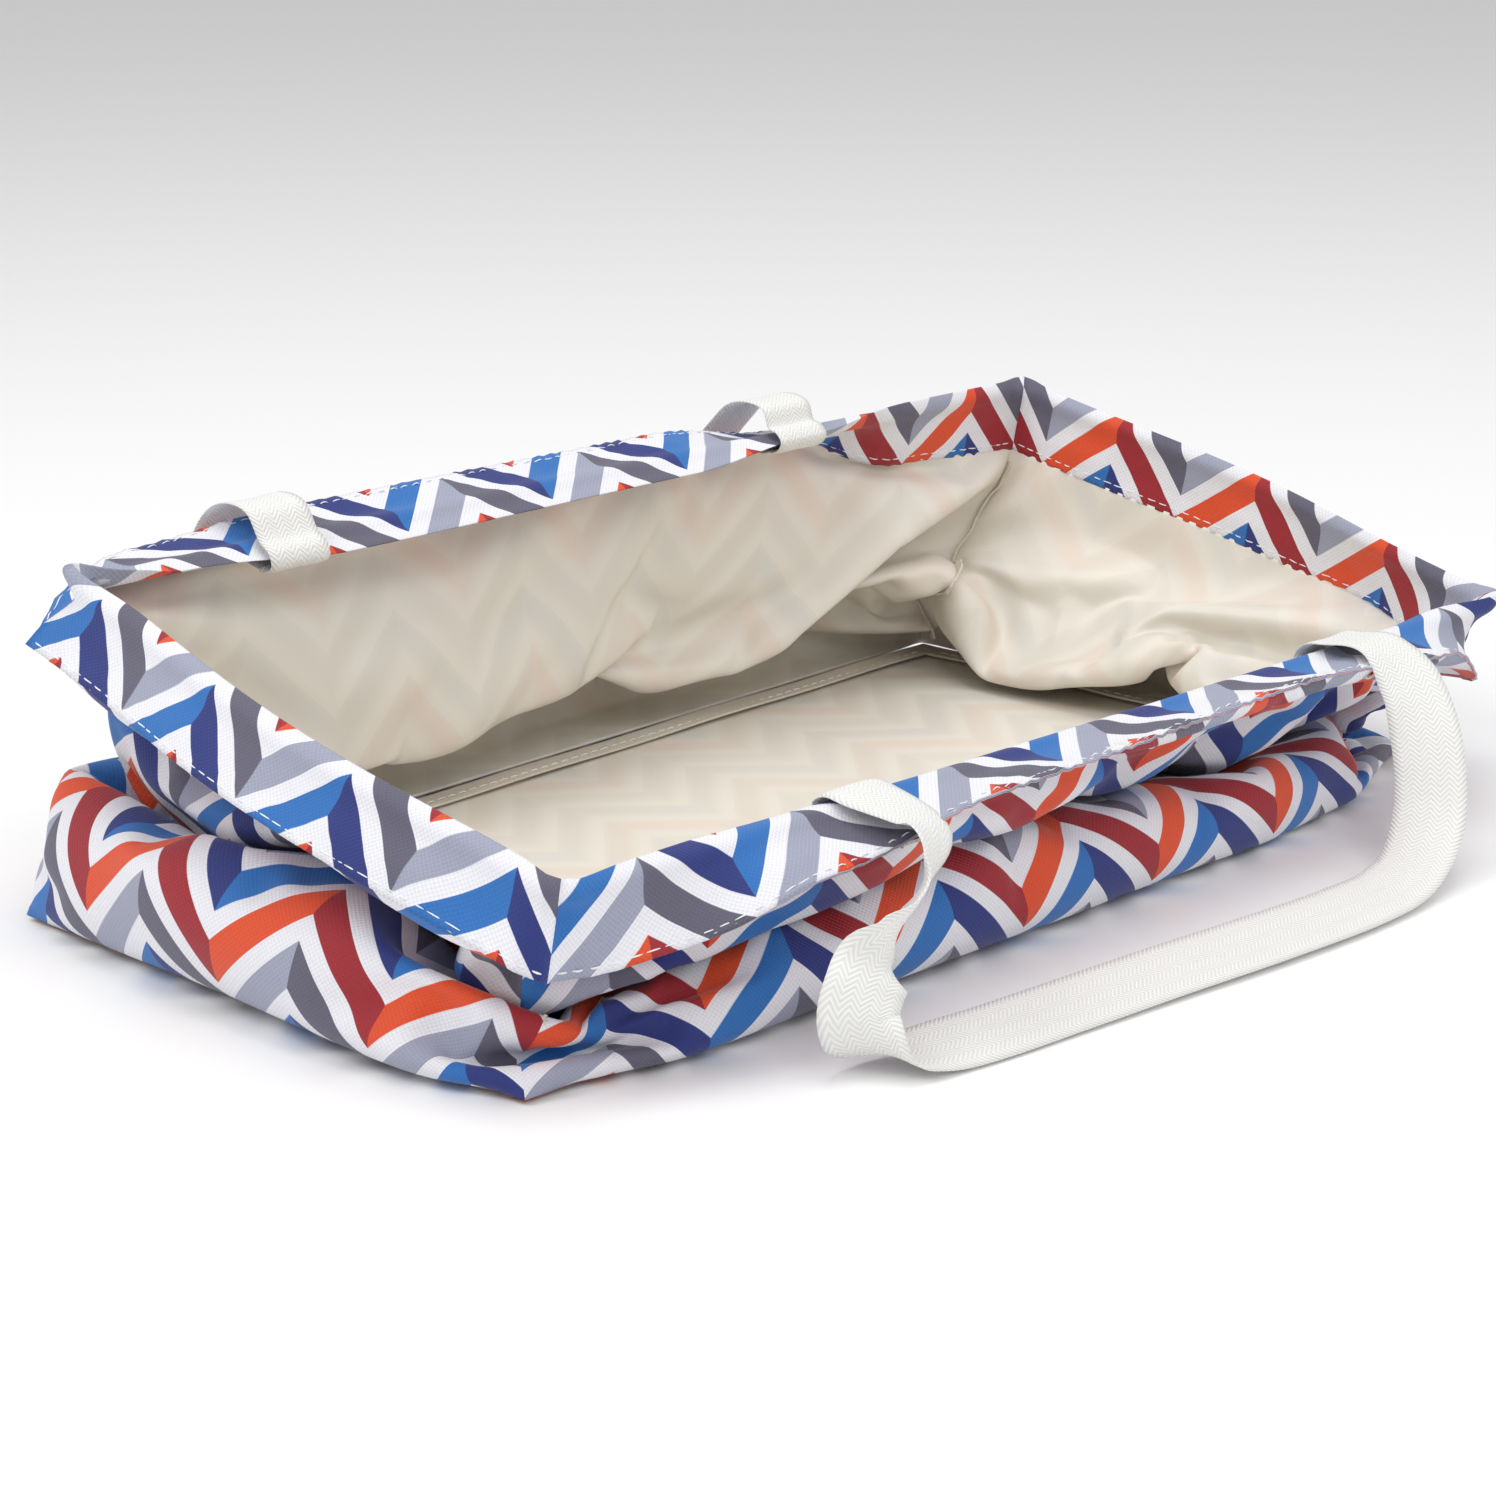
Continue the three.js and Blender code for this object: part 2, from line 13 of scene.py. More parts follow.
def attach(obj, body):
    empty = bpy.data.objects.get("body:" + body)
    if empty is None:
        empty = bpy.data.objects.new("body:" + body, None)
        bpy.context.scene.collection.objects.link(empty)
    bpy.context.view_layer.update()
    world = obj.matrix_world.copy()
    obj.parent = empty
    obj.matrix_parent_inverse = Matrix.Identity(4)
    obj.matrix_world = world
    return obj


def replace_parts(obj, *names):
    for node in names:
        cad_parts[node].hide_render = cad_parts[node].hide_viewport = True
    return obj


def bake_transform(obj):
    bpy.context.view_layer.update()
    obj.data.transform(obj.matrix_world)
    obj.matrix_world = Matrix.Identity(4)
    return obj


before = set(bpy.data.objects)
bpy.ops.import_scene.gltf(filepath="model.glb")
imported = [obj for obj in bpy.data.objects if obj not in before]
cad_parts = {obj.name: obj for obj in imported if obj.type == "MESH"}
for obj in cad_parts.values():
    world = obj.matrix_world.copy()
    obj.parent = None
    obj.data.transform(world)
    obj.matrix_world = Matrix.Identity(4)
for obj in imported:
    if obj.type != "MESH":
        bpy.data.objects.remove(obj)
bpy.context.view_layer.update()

MM = 0.001

# ---- Dimensions, in millimetres ----
LENGTH, WIDTH = 600.0, 305.0
CLOTH_HEIGHT = 300.0
HEM = 38.0
CLOTH = 1.2
END_BOW = 12.0
WEBBING, WEBBING_THICK = 32.0, 1.6

RIM_CENTRE = np.array([12.0, -33.0, 116.0])
RIM_TIP, RIM_YAW = math.radians(12.0), math.radians(-2.8)
RIM_TURN = np.array((Matrix.Rotation(RIM_YAW, 3, "Z") @ Matrix.Rotation(RIM_TIP, 3, "X")))

SIDES = {
    "front": dict(along=(1, 0, 0), out=(0, -1, 0), half=LENGTH / 2, reach=WIDTH / 2, bow=0.0),
    "right": dict(along=(0, 1, 0), out=(1, 0, 0), half=WIDTH / 2, reach=LENGTH / 2, bow=END_BOW),
    "back": dict(along=(-1, 0, 0), out=(0, 1, 0), half=LENGTH / 2, reach=WIDTH / 2, bow=0.0),
    "left": dict(along=(0, -1, 0), out=(-1, 0, 0), half=WIDTH / 2, reach=LENGTH / 2, bow=END_BOW),
}
for side in SIDES.values():
    side["along"], side["out"] = np.array(side["along"], float), np.array(side["out"], float)
UP = np.array([0.0, 0.0, 1.0])

# Roll of each hem about its wire, as knots along the side: share of the way from the middle to the end,
# angle above the outward horizontal in degrees, and the wire's distance from the folded edge.
HEM_ROLL = {
    "front": [
        (-1, -84, 5), (-0.86, -56, 6), (-0.62, -12, 7), (-0.3, 12, 8),
        (0.4, 21, 8), (0.74, 6, 7), (1, -106, 5),
    ],
    "right": [(-1, -106, 5), (-0.5, -80, 5), (0, -92, 5), (0.5, -98, 5), (1, -98, 5)],
    "back": [
        (-1, -98, 5), (-0.72, -82, 6), (-0.46, -20, 9), (-0.15, 8, 14),
        (0.55, 12, 15), (0.84, -8, 9), (1, -66, 5),
    ],
    "left": [(-1, -66, 5), (-0.7, -56, 6), (0, -52, 7), (0.6, -54, 6), (0.85, -62, 6), (1, -82, 5)],
}
ANGLE, WIRE_AT = 1, 2        # columns of the knots
MITRE_LENGTH = 60            # this near a corner the hem turns towards the diagonal
# How far the folded edge stands out past the wire at the corner each side ends in.
CORNER_EAR = {"front": 5.0, "right": 3.0, "back": 10.0, "left": 3.0}
CORNER_BEFORE = {"front": "left", "right": "front", "back": "right", "left": "back"}


def smoothstep(x):
    x = np.clip(x, 0, 1)
    return x * x * (3 - 2 * x)


def eased(knots, x, column):
    """Smooth curve through one column of the knots, which start with their position."""
    xs = [k[0] for k in knots]
    i = int(np.clip(np.searchsorted(xs, x) - 1, 0, len(xs) - 2))
    t = smoothstep((x - xs[i]) / (xs[i + 1] - xs[i]))
    return knots[i][column] * (1 - t) + knots[i + 1][column] * t


def wire_place(name, s):
    """The wire's distance from the folded edge."""
    return eased(HEM_ROLL[name], s / SIDES[name]["half"], WIRE_AT)


def to_world(point):
    """From the level rim's own axes to where the rim lies."""
    return RIM_TURN @ np.asarray(point) + RIM_CENTRE


def hem_frame(name, s, rolled=1.0, tipped=1.0):
    """Wire point and the hem's two directions, down the hem and out of its face, at s mm along a side.

    rolled and tipped at 0 give the hem hanging straight from a level rim at full height.
    """
    side = SIDES[name]
    share = s / side["half"]
    roll = eased(HEM_ROLL[name], share, ANGLE)
    angle = math.radians(roll * rolled - 90 * (1 - rolled))
    near_corner = smoothstep((abs(share) * side["half"] - side["half"] + MITRE_LENGTH) / MITRE_LENGTH)
    out = side["out"] + side["along"] * near_corner * math.copysign(1, share)
    bow = side["bow"] * math.cos(math.pi / 2 * share) ** 2
    point = side["along"] * s + side["out"] * (side["reach"] + bow)
    across = out * math.cos(angle) + UP * math.sin(angle)
    face = -out * math.sin(angle) + UP * math.cos(angle)
    if tipped:
        return to_world(point), RIM_TURN @ across, RIM_TURN @ face
    return point + UP * CLOTH_HEIGHT, across, face


# ---- Mesh helpers ----
def new_object(name, points, faces, uvs=None, slots=None, materials=(), smooth=True):
    """A mesh object from points in millimetres. uvs has one pair for each corner of each face."""
    mesh = bpy.data.meshes.new(name)
    mesh.from_pydata((np.asarray(points, float) * MM).tolist(), [], [list(f) for f in faces])
    if uvs is not None:
        layer = mesh.uv_layers.new(name="UVMap")
        layer.data.foreach_set("uv", np.asarray(uvs, np.float32).ravel())
    for material in materials:
        mesh.materials.append(material)
    if slots is not None:
        mesh.polygons.foreach_set("material_index", np.asarray(slots, np.int32))
    mesh.polygons.foreach_set("use_smooth", np.full(len(mesh.polygons), smooth))
    mesh.update()
    obj = bpy.data.objects.new(name, mesh)
    bpy.context.scene.collection.objects.link(obj)
    return obj


def ring_faces(rings, count, closed=False):
    """Quads between equal rings, in order."""
    faces = []
    for r in range(rings - (0 if closed else 1)):
        n = (r + 1) % rings
        for i in range(count):
            j = (i + 1) % count
            faces.append((r * count + i, r * count + j, n * count + j, n * count + i))
    return faces


def rectangle(x, y, z):
    return [(-x, -y, z), (x, -y, z), (x, y, z), (-x, y, z)]


def evaluated_copy(obj, name):
    """The object's mesh with its modifiers applied, as a new object."""
    graph = bpy.context.evaluated_depsgraph_get()
    mesh = bpy.data.meshes.new_from_object(obj.evaluated_get(graph), depsgraph=graph)
    mesh.name = name
    copy = bpy.data.objects.new(name, mesh)
    bpy.context.scene.collection.objects.link(copy)
    return copy


def discard(obj):
    bpy.data.objects.remove(obj, do_unlink=True)


# ---- Materials ----
def linear(r, g, b):
    """Linear colour from 0 to 255 display values."""
    def one(c):
        c /= 255
        return c / 12.92 if c <= 0.04045 else ((c + 0.055) / 1.055) ** 2.4
    return (one(r), one(g), one(b), 1.0)


LIGHT_BLUE, NAVY = linear(38, 112, 188), linear(36, 50, 124)
ORANGE, DARK_RED = linear(228, 78, 34), linear(160, 30, 42)
LIGHT_GREY, DARK_GREY = linear(160, 164, 184), linear(98, 96, 114)
CLOTH_WHITE, LINING = linear(238, 238, 244), linear(236, 231, 219)
PITCH = LENGTH / 7 + 1.0                # one zigzag along the cloth
BAND, BAND_COLOUR = 30.0, 18.6          # from one band to the next, and the inked part of that
CYCLE = 3 * BAND                        # red, grey and blue bands
BAND_CHANGE = 5.6                       # colours change this far before a band, in the white
PRINT_PHASE = 13.0 + 100 * CYCLE        # whole cycles keep the pattern's coordinate above zero
SHARP, BLURRED = 0.25, 5.0              # edge of a band on the outside, and as it shows through


class Graph:
    """Shorthand for building a node tree."""

    def __init__(self, tree):
        self.tree = tree

    def node(self, kind, **inputs):
        return self.fill(self.tree.nodes.new(kind), **inputs)

    def fill(self, made, **inputs):
        """Sets a node's inputs, named with _ for each space, to values or links."""
        for key, value in inputs.items():
            self.put(made.inputs[key.replace("_", " ")], value)
        return made

    def put(self, socket, value):
        if isinstance(value, bpy.types.NodeSocket):
            self.tree.links.new(value, socket)
        else:
            socket.default_value = value

    def math(self, operation, a, b=None, c=None, clamp=False):
        made = self.tree.nodes.new("ShaderNodeMath")
        made.operation, made.use_clamp = operation, clamp
        for socket, value in zip(made.inputs, (a, b, c)):
            if value is not None:
                self.put(socket, value)
        return made.outputs[0]

    def mix(self, share, a, b, mode="MIX"):
        made = self.tree.nodes.new("ShaderNodeMix")
        made.data_type, made.blend_type = "RGBA", mode
        self.put(made.inputs["Factor"], share)
        colours = [socket for socket in made.inputs if socket.type == "RGBA"]
        self.put(colours[0], a)
        self.put(colours[1], b)
        return [socket for socket in made.outputs if socket.type == "RGBA"][0]

    def step(self, value, edge, soft):
        """0 below edge, 1 above it, over a width of 2 soft."""
        return self.math("DIVIDE", self.math("SUBTRACT", value, edge - soft), 2 * soft, clamp=True)

    def noise(self, vector, scale, detail=2.0, rough=0.5):
        made = self.node("ShaderNodeTexNoise", Vector=vector, Scale=scale, Detail=detail, Roughness=rough)
        return made.outputs[0]


def print_colour(g, u, v, soft):
    """Zigzag bands: w grows down the cloth, and each leg of the zigzag stands at 45 degrees."""
    turn = g.math("FRACT", g.math("ADD", g.math("DIVIDE", u, PITCH), 0.5))
    leg = g.math("SUBTRACT", turn, 0.5)
    zigzag = g.math("MULTIPLY", g.math("ABSOLUTE", leg), PITCH)
    w = g.math("ADD", v, zigzag)
    cycle = g.math("MODULO", g.math("ADD", w, PRINT_PHASE), CYCLE)
    right_leg = g.step(leg, 0.0, soft / PITCH)
    red = g.mix(right_leg, DARK_RED, ORANGE)
    grey = g.mix(right_leg, DARK_GREY, LIGHT_GREY)
    blue = g.mix(right_leg, NAVY, LIGHT_BLUE)
    colour = g.mix(g.step(cycle, BAND - BAND_CHANGE, 0.05), red, grey)
    colour = g.mix(g.step(cycle, 2 * BAND - BAND_CHANGE, 0.05), colour, blue)
    within = g.math("MODULO", cycle, BAND)
    inked = g.math("SUBTRACT", g.step(within, 0.0, soft), g.step(within, BAND_COLOUR, soft))
    return g.mix(inked, CLOTH_WHITE, colour)


def begin_material(name):
    material = bpy.data.materials.new(name)
    material.use_nodes = True
    tree = material.node_tree
    tree.nodes.clear()
    g = Graph(tree)
    shader = g.node("ShaderNodeBsdfPrincipled")
    out = g.node("ShaderNodeOutputMaterial")
    tree.links.new(shader.outputs[0], out.inputs["Surface"])
    return material, g, shader


def uv_mm(g):
    """UV stored in units of a metre, given back in millimetres."""
    uv = g.node("ShaderNodeUVMap")
    split = g.node("ShaderNodeSeparateXYZ", Vector=uv.outputs[0])
    u = g.math("MULTIPLY", split.outputs[0], 1000.0)
    v = g.math("MULTIPLY", split.outputs[1], 1000.0)
    return u, v, uv.outputs[0]


WEAVE_PITCH = 1.1
TWILL_PITCH = 2.3


def weave(g, u, v, pitch):
    """Plain weave: threads over and under at the given pitch, from 0 to 1."""
    k = math.pi / pitch
    a = g.math("SINE", g.math("MULTIPLY", u, k))
    b = g.math("SINE", g.math("MULTIPLY", v, k))
    return g.math("MULTIPLY_ADD", g.math("MULTIPLY", a, b), 0.5, 0.5)


def bump(g, height, strength, distance):
    made = g.node("ShaderNodeBump", Height=height, Strength=strength, Distance=distance)
    return made.outputs[0]


def printed_cloth():
    material, g, shader = begin_material("printed_cloth")
    u, v, uv = uv_mm(g)
    colour = print_colour(g, u, v, SHARP)
    threads = weave(g, u, v, WEAVE_PITCH)
    wear = g.noise(uv, 9.0, 4.0)
    fine = g.noise(uv, 700.0, 2.0)
    shade = g.math("MULTIPLY_ADD", threads, 0.16, 0.86)
    shade = g.math("MULTIPLY_ADD", g.math("SUBTRACT", wear, 0.5), 0.10, shade)
    shade = g.math("MULTIPLY_ADD", g.math("SUBTRACT", fine, 0.5), 0.12, shade)
    grey = g.node("ShaderNodeCombineColor", Red=shade, Green=shade, Blue=shade)
    g.fill(shader, Base_Color=g.mix(1.0, colour, grey.outputs[0], "MULTIPLY"),
           Roughness=g.math("MULTIPLY_ADD", wear, 0.15, 0.68), Sheen_Weight=0.15,
           Normal=bump(g, g.math("MULTIPLY_ADD", fine, 0.3, threads), 0.45, 0.0003))
    return material


def lining_cloth(tint=0.1):
    """The coated inside, where tint is how much of the print shows through."""
    material, g, shader = begin_material("lining_cloth")
    u, v, uv = uv_mm(g)
    ghost = print_colour(g, u, v, BLURRED)
    patches = g.noise(uv, 6.0, 3.0)
    fine = g.noise(uv, 500.0, 2.0)
    share = g.math("MULTIPLY_ADD", patches, tint, tint * 0.35)
    colour = g.mix(share, LINING, ghost)
    colour = g.mix(g.math("MULTIPLY", patches, 0.25), colour, linear(205, 196, 178))
    height = g.math("MULTIPLY_ADD", weave(g, u, v, WEAVE_PITCH), 0.35, fine)
    g.fill(shader, Base_Color=colour, Roughness=g.math("MULTIPLY_ADD", patches, 0.12, 0.38),
           Specular_IOR_Level=0.4, Coat_Weight=0.12, Coat_Roughness=0.45,
           Normal=bump(g, height, 0.12, 0.0003))
    return material


def webbing_cloth():
    """Herringbone: twill lines that change direction in columns across the strap. u runs across, v along."""
    material, g, shader = begin_material("webbing_cloth")
    u, v, uv = uv_mm(g)
    column = g.math("PINGPONG", u, WEBBING / 8)
    twill = g.math("SINE", g.math("MULTIPLY", g.math("ADD", v, column), 2 * math.pi / TWILL_PITCH))
    ribs = g.math("MULTIPLY_ADD", twill, 0.5, 0.5)
    fine = g.noise(uv, 900.0, 2.0)
    patches = g.noise(uv, 14.0, 3.0)
    colour = g.mix(ribs, linear(222, 222, 220), linear(246, 246, 243))
    colour = g.mix(g.math("MULTIPLY", patches, 0.3), colour, linear(232, 229, 222))
    g.fill(shader, Base_Color=colour, Roughness=g.math("MULTIPLY_ADD", fine, 0.2, 0.6), Sheen_Weight=0.2,
           Normal=bump(g, g.math("MULTIPLY_ADD", fine, 0.4, ribs), 0.6, 0.0004))
    return material


def plain_material(name, colour, other, rough, scale, metallic=0.0):
    """A finish with a fine grain, for thread, tape and metal."""
    material, g, shader = begin_material(name)
    place = g.node("ShaderNodeTexCoord").outputs["Object"]
    grain = g.noise(place, scale, 3.0)
    g.fill(shader, Base_Color=g.mix(grain, colour, other),
           Roughness=g.math("MULTIPLY_ADD", grain, 0.2, rough), Metallic=metallic,
           Normal=bump(g, grain, 0.3, 0.0002))
    return material


PRINTED = printed_cloth()
LINED = lining_cloth()
STRAP = webbing_cloth()
THREAD = plain_material("white_thread", linear(250, 250, 250), linear(228, 230, 236), 0.55, 2500.0)
TAPE = plain_material("seam_tape", linear(226, 218, 204), linear(204, 195, 178), 0.5, 900.0)
STEEL = plain_material("rim_steel", linear(190, 192, 196), linear(150, 152, 158), 0.28, 1200.0, 1.0)


FRONT_STRETCH, FRONT_SHIFT = 1.035, 5.0


def print_uv(name, s, v):
    """Where a point of a panel lies in the print, in metres. The front panel is cut the other way up."""
    if name == "front":
        return (-s * MM, ((CLOTH_HEIGHT - v) * FRONT_STRETCH - FRONT_SHIFT) * MM)
    return (s * MM, v * MM)


# ---- Hems ----
HEM_STEP = 4.0                              # from one section of the hem to the next
FLAT_HALF, SLEEVE_RISE = 0.75, 2.7          # half thickness where flat, and what the wire adds
SLEEVE_REACH, FOLD_RADIUS = 5.5, 1.6
CORNER_INSET, CORNER_REACH = 5.0, 5.5       # the rounded corner of the wire pulls the hem in
EAR_REACH, EAR_DEEP = 11, 13
WAVE_AT, WAVE_WIDTH = 26, 7                 # where across the hem the slow waves are


def bell(x, width):
    return math.exp(-((x / width) ** 2))


def hem_section(wire_at):
    """Closed outline of the flat sleeve: (distance from fold, offset, place in the cloth)."""
    def lift(d):
        edge = 1 - math.exp(-d / FOLD_RADIUS)
        return edge * (FLAT_HALF + SLEEVE_RISE * bell(d - wire_at, SLEEVE_REACH))
    distances = np.concatenate([np.linspace(0.6, 12, 9), np.linspace(14, HEM, 11)])
    outer = [(d, lift(d), d) for d in distances]
    inner = [(d, -lift(d), -d) for d in distances[::-1]]
    return [(0.0, 0.0, 0.0)] + outer + inner


def hem_waves(name, s, to_corner):
    """Small puckers along the stitching and slow waves across the middle of a hem."""
    pucker = 0.5 * math.sin(s * 0.83 + 1.3 * math.sin(s * 0.11)) * smoothstep(to_corner / 20)
    wave = 1.1 * math.sin(s * 0.052 + len(name)) + 0.5 * math.sin(s * 0.137 + 2 * len(name))
    return pucker, wave * smoothstep(to_corner / 30)


def hem_points(name, s):
    """Outline of the hem's section at s, and the same section flat."""
    side = SIDES[name]
    share = s / side["half"]
    point, across, face = hem_frame(name, s)
    wire_at = wire_place(name, s)
    section = hem_section(wire_at)
    to_corner = side["half"] - abs(s)
    diagonal = RIM_TURN @ ((side["out"] + side["along"] * math.copysign(1, share)) / math.sqrt(2))
    inward = diagonal * CORNER_INSET * bell(to_corner, CORNER_REACH)
    owner = name if share > 0 else CORNER_BEFORE[name]
    ear = CORNER_EAR[owner] * bell(to_corner, EAR_REACH)
    pucker, wave = hem_waves(name, s, to_corner)
    points = []
    for d, e, _ in section:
        tail = smoothstep((d - HEM + 18) / 18)
        middle = bell(d - WAVE_AT, WAVE_WIDTH)
        lifted = point + across * (d - wire_at) + face * (e + pucker * tail + wave * middle)
        lifted -= inward * (1 - smoothstep((d - 10) / 20))
        points.append(lifted + (diagonal + UP * 0.5) * ear * (1 - smoothstep(d / EAR_DEEP)))
    return points, section


def make_hem(name):
    """The printed sleeve along one side, closed at both ends."""
    side = SIDES[name]
    steps = int(2 * side["half"] / HEM_STEP)
    stations = np.linspace(-side["half"], side["half"], steps + 1)
    rings, sections = zip(*(hem_points(name, s) for s in stations))
    count = len(rings[0])
    points = [p for ring in rings for p in ring]
    faces, uvs = [], []
    for face in ring_faces(len(rings), count):
        faces.append(face)
        wraps = {i % count for i in face} == {0, count - 1}
        for i in face:
            r, k = divmod(i, count)
            v = -sections[r][0][2] if wraps and k == 0 else sections[r][k][2]
            uvs.append(print_uv(name, stations[r], v))
    caps = [list(range(count)), [(len(rings) - 1) * count + i for i in range(count)][::-1]]
    for cap, r in zip(caps, (0, len(rings) - 1)):
        faces.append(cap)
        uvs.extend(print_uv(name, stations[r], sections[r][i % count][2]) for i in cap)
    obj = new_object(f"printed_hem_{name}", points, faces, uvs, materials=[PRINTED])
    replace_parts(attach(obj, "rim"), f"hem_{name}")
    return obj


for side_name in SIDES:
    make_hem(side_name)


# ---- Stitches ----
STITCH, STITCH_GAP, THREAD_RADIUS = 5.6, 1.2, 0.34
THREAD_SIDES = 6
SEAM_OUTSIDE, SEAM_INSIDE = 35.0, 34.0      # the rows' distance from the fold on the hem's two faces


class Threads:
    """Gathers single stitches, each a short round thread that dips into the cloth at both ends."""

    def __init__(self):
        self.points, self.faces = [], []

    def stitch(self, line, normal, radius=THREAD_RADIUS):
        """One stitch through a few points, standing off along the normal."""
        sides = THREAD_SIDES
        base = len(self.points)
        last = len(line) - 1
        along = line[last] - line[0]
        along /= np.linalg.norm(along)
        across = np.cross(normal, along)
        for k, p in enumerate(line):
            bow = math.sin(math.pi * k / last)
            thick = radius * (0.45 + 0.55 * bow)
            centre = p + normal * radius * (1.3 * bow - 0.7)
            for i in range(sides):
                a = 2 * math.pi * i / sides
                self.points.append(centre + thick * (normal * math.cos(a) + across * math.sin(a)))
        for face in ring_faces(last + 1, sides):
            self.faces.append([base + i for i in face])
        self.faces.append([base + i for i in range(sides)])
        self.faces.append([base + last * sides + i for i in range(sides)][::-1])

    def finish(self, name, body, node=None):
        """One object of all the stitches, on a body and in place of a CAD node."""
        obj = new_object(name, self.points, self.faces, materials=[THREAD])
        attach(obj, body)
        if node:
            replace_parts(obj, node)
        return obj


def hem_surface(name, s, distance, face_sign):
    """A point on a hem's outer (+1) or inner (-1) face, and the way that face looks."""
    points, section = hem_points(name, s)
    half = (len(section) - 1) // 2
    outer = np.array([points[k] for k in range(1, half + 1)])
    inner = np.array([points[len(section) - k] for k in range(1, half + 1)])
    row = outer if face_sign > 0 else inner
    at = [section[k][0] for k in range(1, half + 1)]
    point = np.array([np.interp(distance, at, row[:, axis]) for axis in range(3)])
    normal = hem_frame(name, s)[2] * face_sign
    return point, normal


def stitch_hem(name):
    """The row of stitches on the outer and on the inner face of a hem."""
    threads = Threads()
    half = SIDES[name]["half"]
    for distance, face_sign in ((SEAM_OUTSIDE, 1), (SEAM_INSIDE, -1)):
        s = -half + 4
        while s < half - 8:
            places = np.linspace(s, s + STITCH, 5)
            found = [hem_surface(name, at, distance, face_sign) for at in places]
            threads.stitch([f[0] for f in found], found[2][1])
            s += STITCH + STITCH_GAP
    threads.finish(f"stitches_{name}", "rim", f"topstitch_{name}")


for side_name in SIDES:
    stitch_hem(side_name)

# ---- Crumpled walls ----
CELL = 7.5                   # side of one square of the simulated cloth
SIM_SCALE = 4.0              # the simulation runs this much larger than life
LOWERING_FRAMES, SETTLING_FRAMES = 44, 22
COLUMNS = {name: int(round(2 * side["half"] / CELL)) for name, side in SIDES.items()}
ROWS = int(round((CLOTH_HEIGHT - HEM) / CELL))
PUFF = 2.0                   # air that keeps the lower folds open
# How far the cloth is pushed to start its folds: out near the floor, in at half height, and below the rim.
FOLD_OUT = {"front": 12.0, "right": 14.0, "back": 10.0, "left": 16.0}
FOLD_IN = {"front": 50.0, "right": 36.0, "back": 32.0, "left": 40.0}
FOLD_HIGH = {"front": 8.0, "right": -8.0, "back": -10.0, "left": -14.0}
TOTAL_COLUMNS = sum(COLUMNS.values())


def column_places():
    """(side, s) of every column, walking round once from the front left corner."""
    places = []
    for name, side in SIDES.items():
        for i in range(COLUMNS[name]):
            places.append((name, -side["half"] + 2 * side["half"] * i / COLUMNS[name]))
    return places


PLACES = column_places()


FOOT_HEIGHT = 1.6
SEAM_OVERLAP = 1.0


def foot_point(name, s):
    """Where a column of the wall meets the bottom."""
    side = SIDES[name]
    return side["along"] * s + side["out"] * side["reach"] + UP * (FOOT_HEIGHT + CLOTH / 2)


def head_point(name, s):
    """Where a column of the wall is sewn to its hem."""
    point, across, _ = hem_frame(name, s)
    return point + across * (HEM - SEAM_OVERLAP - wire_place(name, s))


def wall_bias(name, s, t):
    """Push that starts the folds: out near the floor, in below the rim, uneven along the side."""
    share = s / SIDES[name]["half"]
    fade = 1 - abs(share) ** 4
    drift = 0.05 * math.sin(s * 0.017 + 1.7 * len(name))
    low = math.exp(-(((t - 0.2 - drift) / 0.13) ** 2))
    middle = math.exp(-(((t - 0.5 - drift) / 0.15) ** 2))
    high = math.exp(-(((t - 0.8 - drift) / 0.12) ** 2))
    wave = math.sin(s * 0.031 + 2 * len(name)) + 0.6 * math.sin(s * 0.071 + len(name))
    push = FOLD_OUT[name] * low + FOLD_HIGH[name] * high + 5.0 * wave * math.sin(math.pi * t)
    return fade * push - FOLD_IN[name] * middle * (0.45 + 0.55 * fade)


def wall_grid(top, folded):
    """Points by row from the hem to the foot."""
    grid = np.zeros((ROWS + 1, TOTAL_COLUMNS, 3))
    for c, (name, s) in enumerate(PLACES):
        head, foot = top(name, s), foot_point(name, s)
        side = SIDES[name]
        for r in range(ROWS + 1):
            t = 1 - r / ROWS
            push = folded(name, s, t)
            offset = side["out"] * push + side["along"] * push * s / side["half"]
            grid[r, c] = head * t + foot * (1 - t) + offset * (0 < r < ROWS)
    return grid


def wall_faces():
    """Quads of the grid, row by row."""
    faces = []
    for r in range(ROWS):
        for c in range(TOTAL_COLUMNS):
            n = (c + 1) % TOTAL_COLUMNS
            a, b = r * TOTAL_COLUMNS, (r + 1) * TOTAL_COLUMNS
            faces.append((a + c, b + c, b + n, a + n))
    return faces


def raised_top(name, s):
    """Top of the wall while the bag still stands at full height."""
    side = SIDES[name]
    return side["along"] * s + side["out"] * side["reach"] + UP * (CLOTH_HEIGHT - HEM)


def collider(name, points, faces):
    """Something the cloth can't pass."""
    obj = new_object(name, np.asarray(points) * SIM_SCALE, faces)
    obj.modifiers.new("collision", "COLLISION")
    obj.collision.thickness_outer = 0.003
    obj.collision.cloth_friction = 6.0
    obj.collision.damping = 0.4
    return obj


def hem_collider():
    """The flat hem, as a strip that sinks and rolls with the rim."""
    start, end = [], []
    for name, side in SIDES.items():
        steps = 30 if side["half"] > 200 else 16
        for i in range(steps):
            s = -side["half"] + 2 * side["half"] * i / steps
            wire_at = wire_place(name, s)
            for rolled, store in ((0.0, start), (1.0, end)):
                point, across, face = hem_frame(name, s, rolled, rolled)
                outline = ((-2, 0), (wire_at, 6.5), (30, 5), (35, 0), (30, -5), (wire_at, -6.5))
                for d, e in outline:
                    store.append(point + across * (d - wire_at) + face * e)
    obj = collider("sim_hem", start, ring_faces(len(start) // len(outline), len(outline), closed=True))
    animate_shape(obj, end)
    return obj


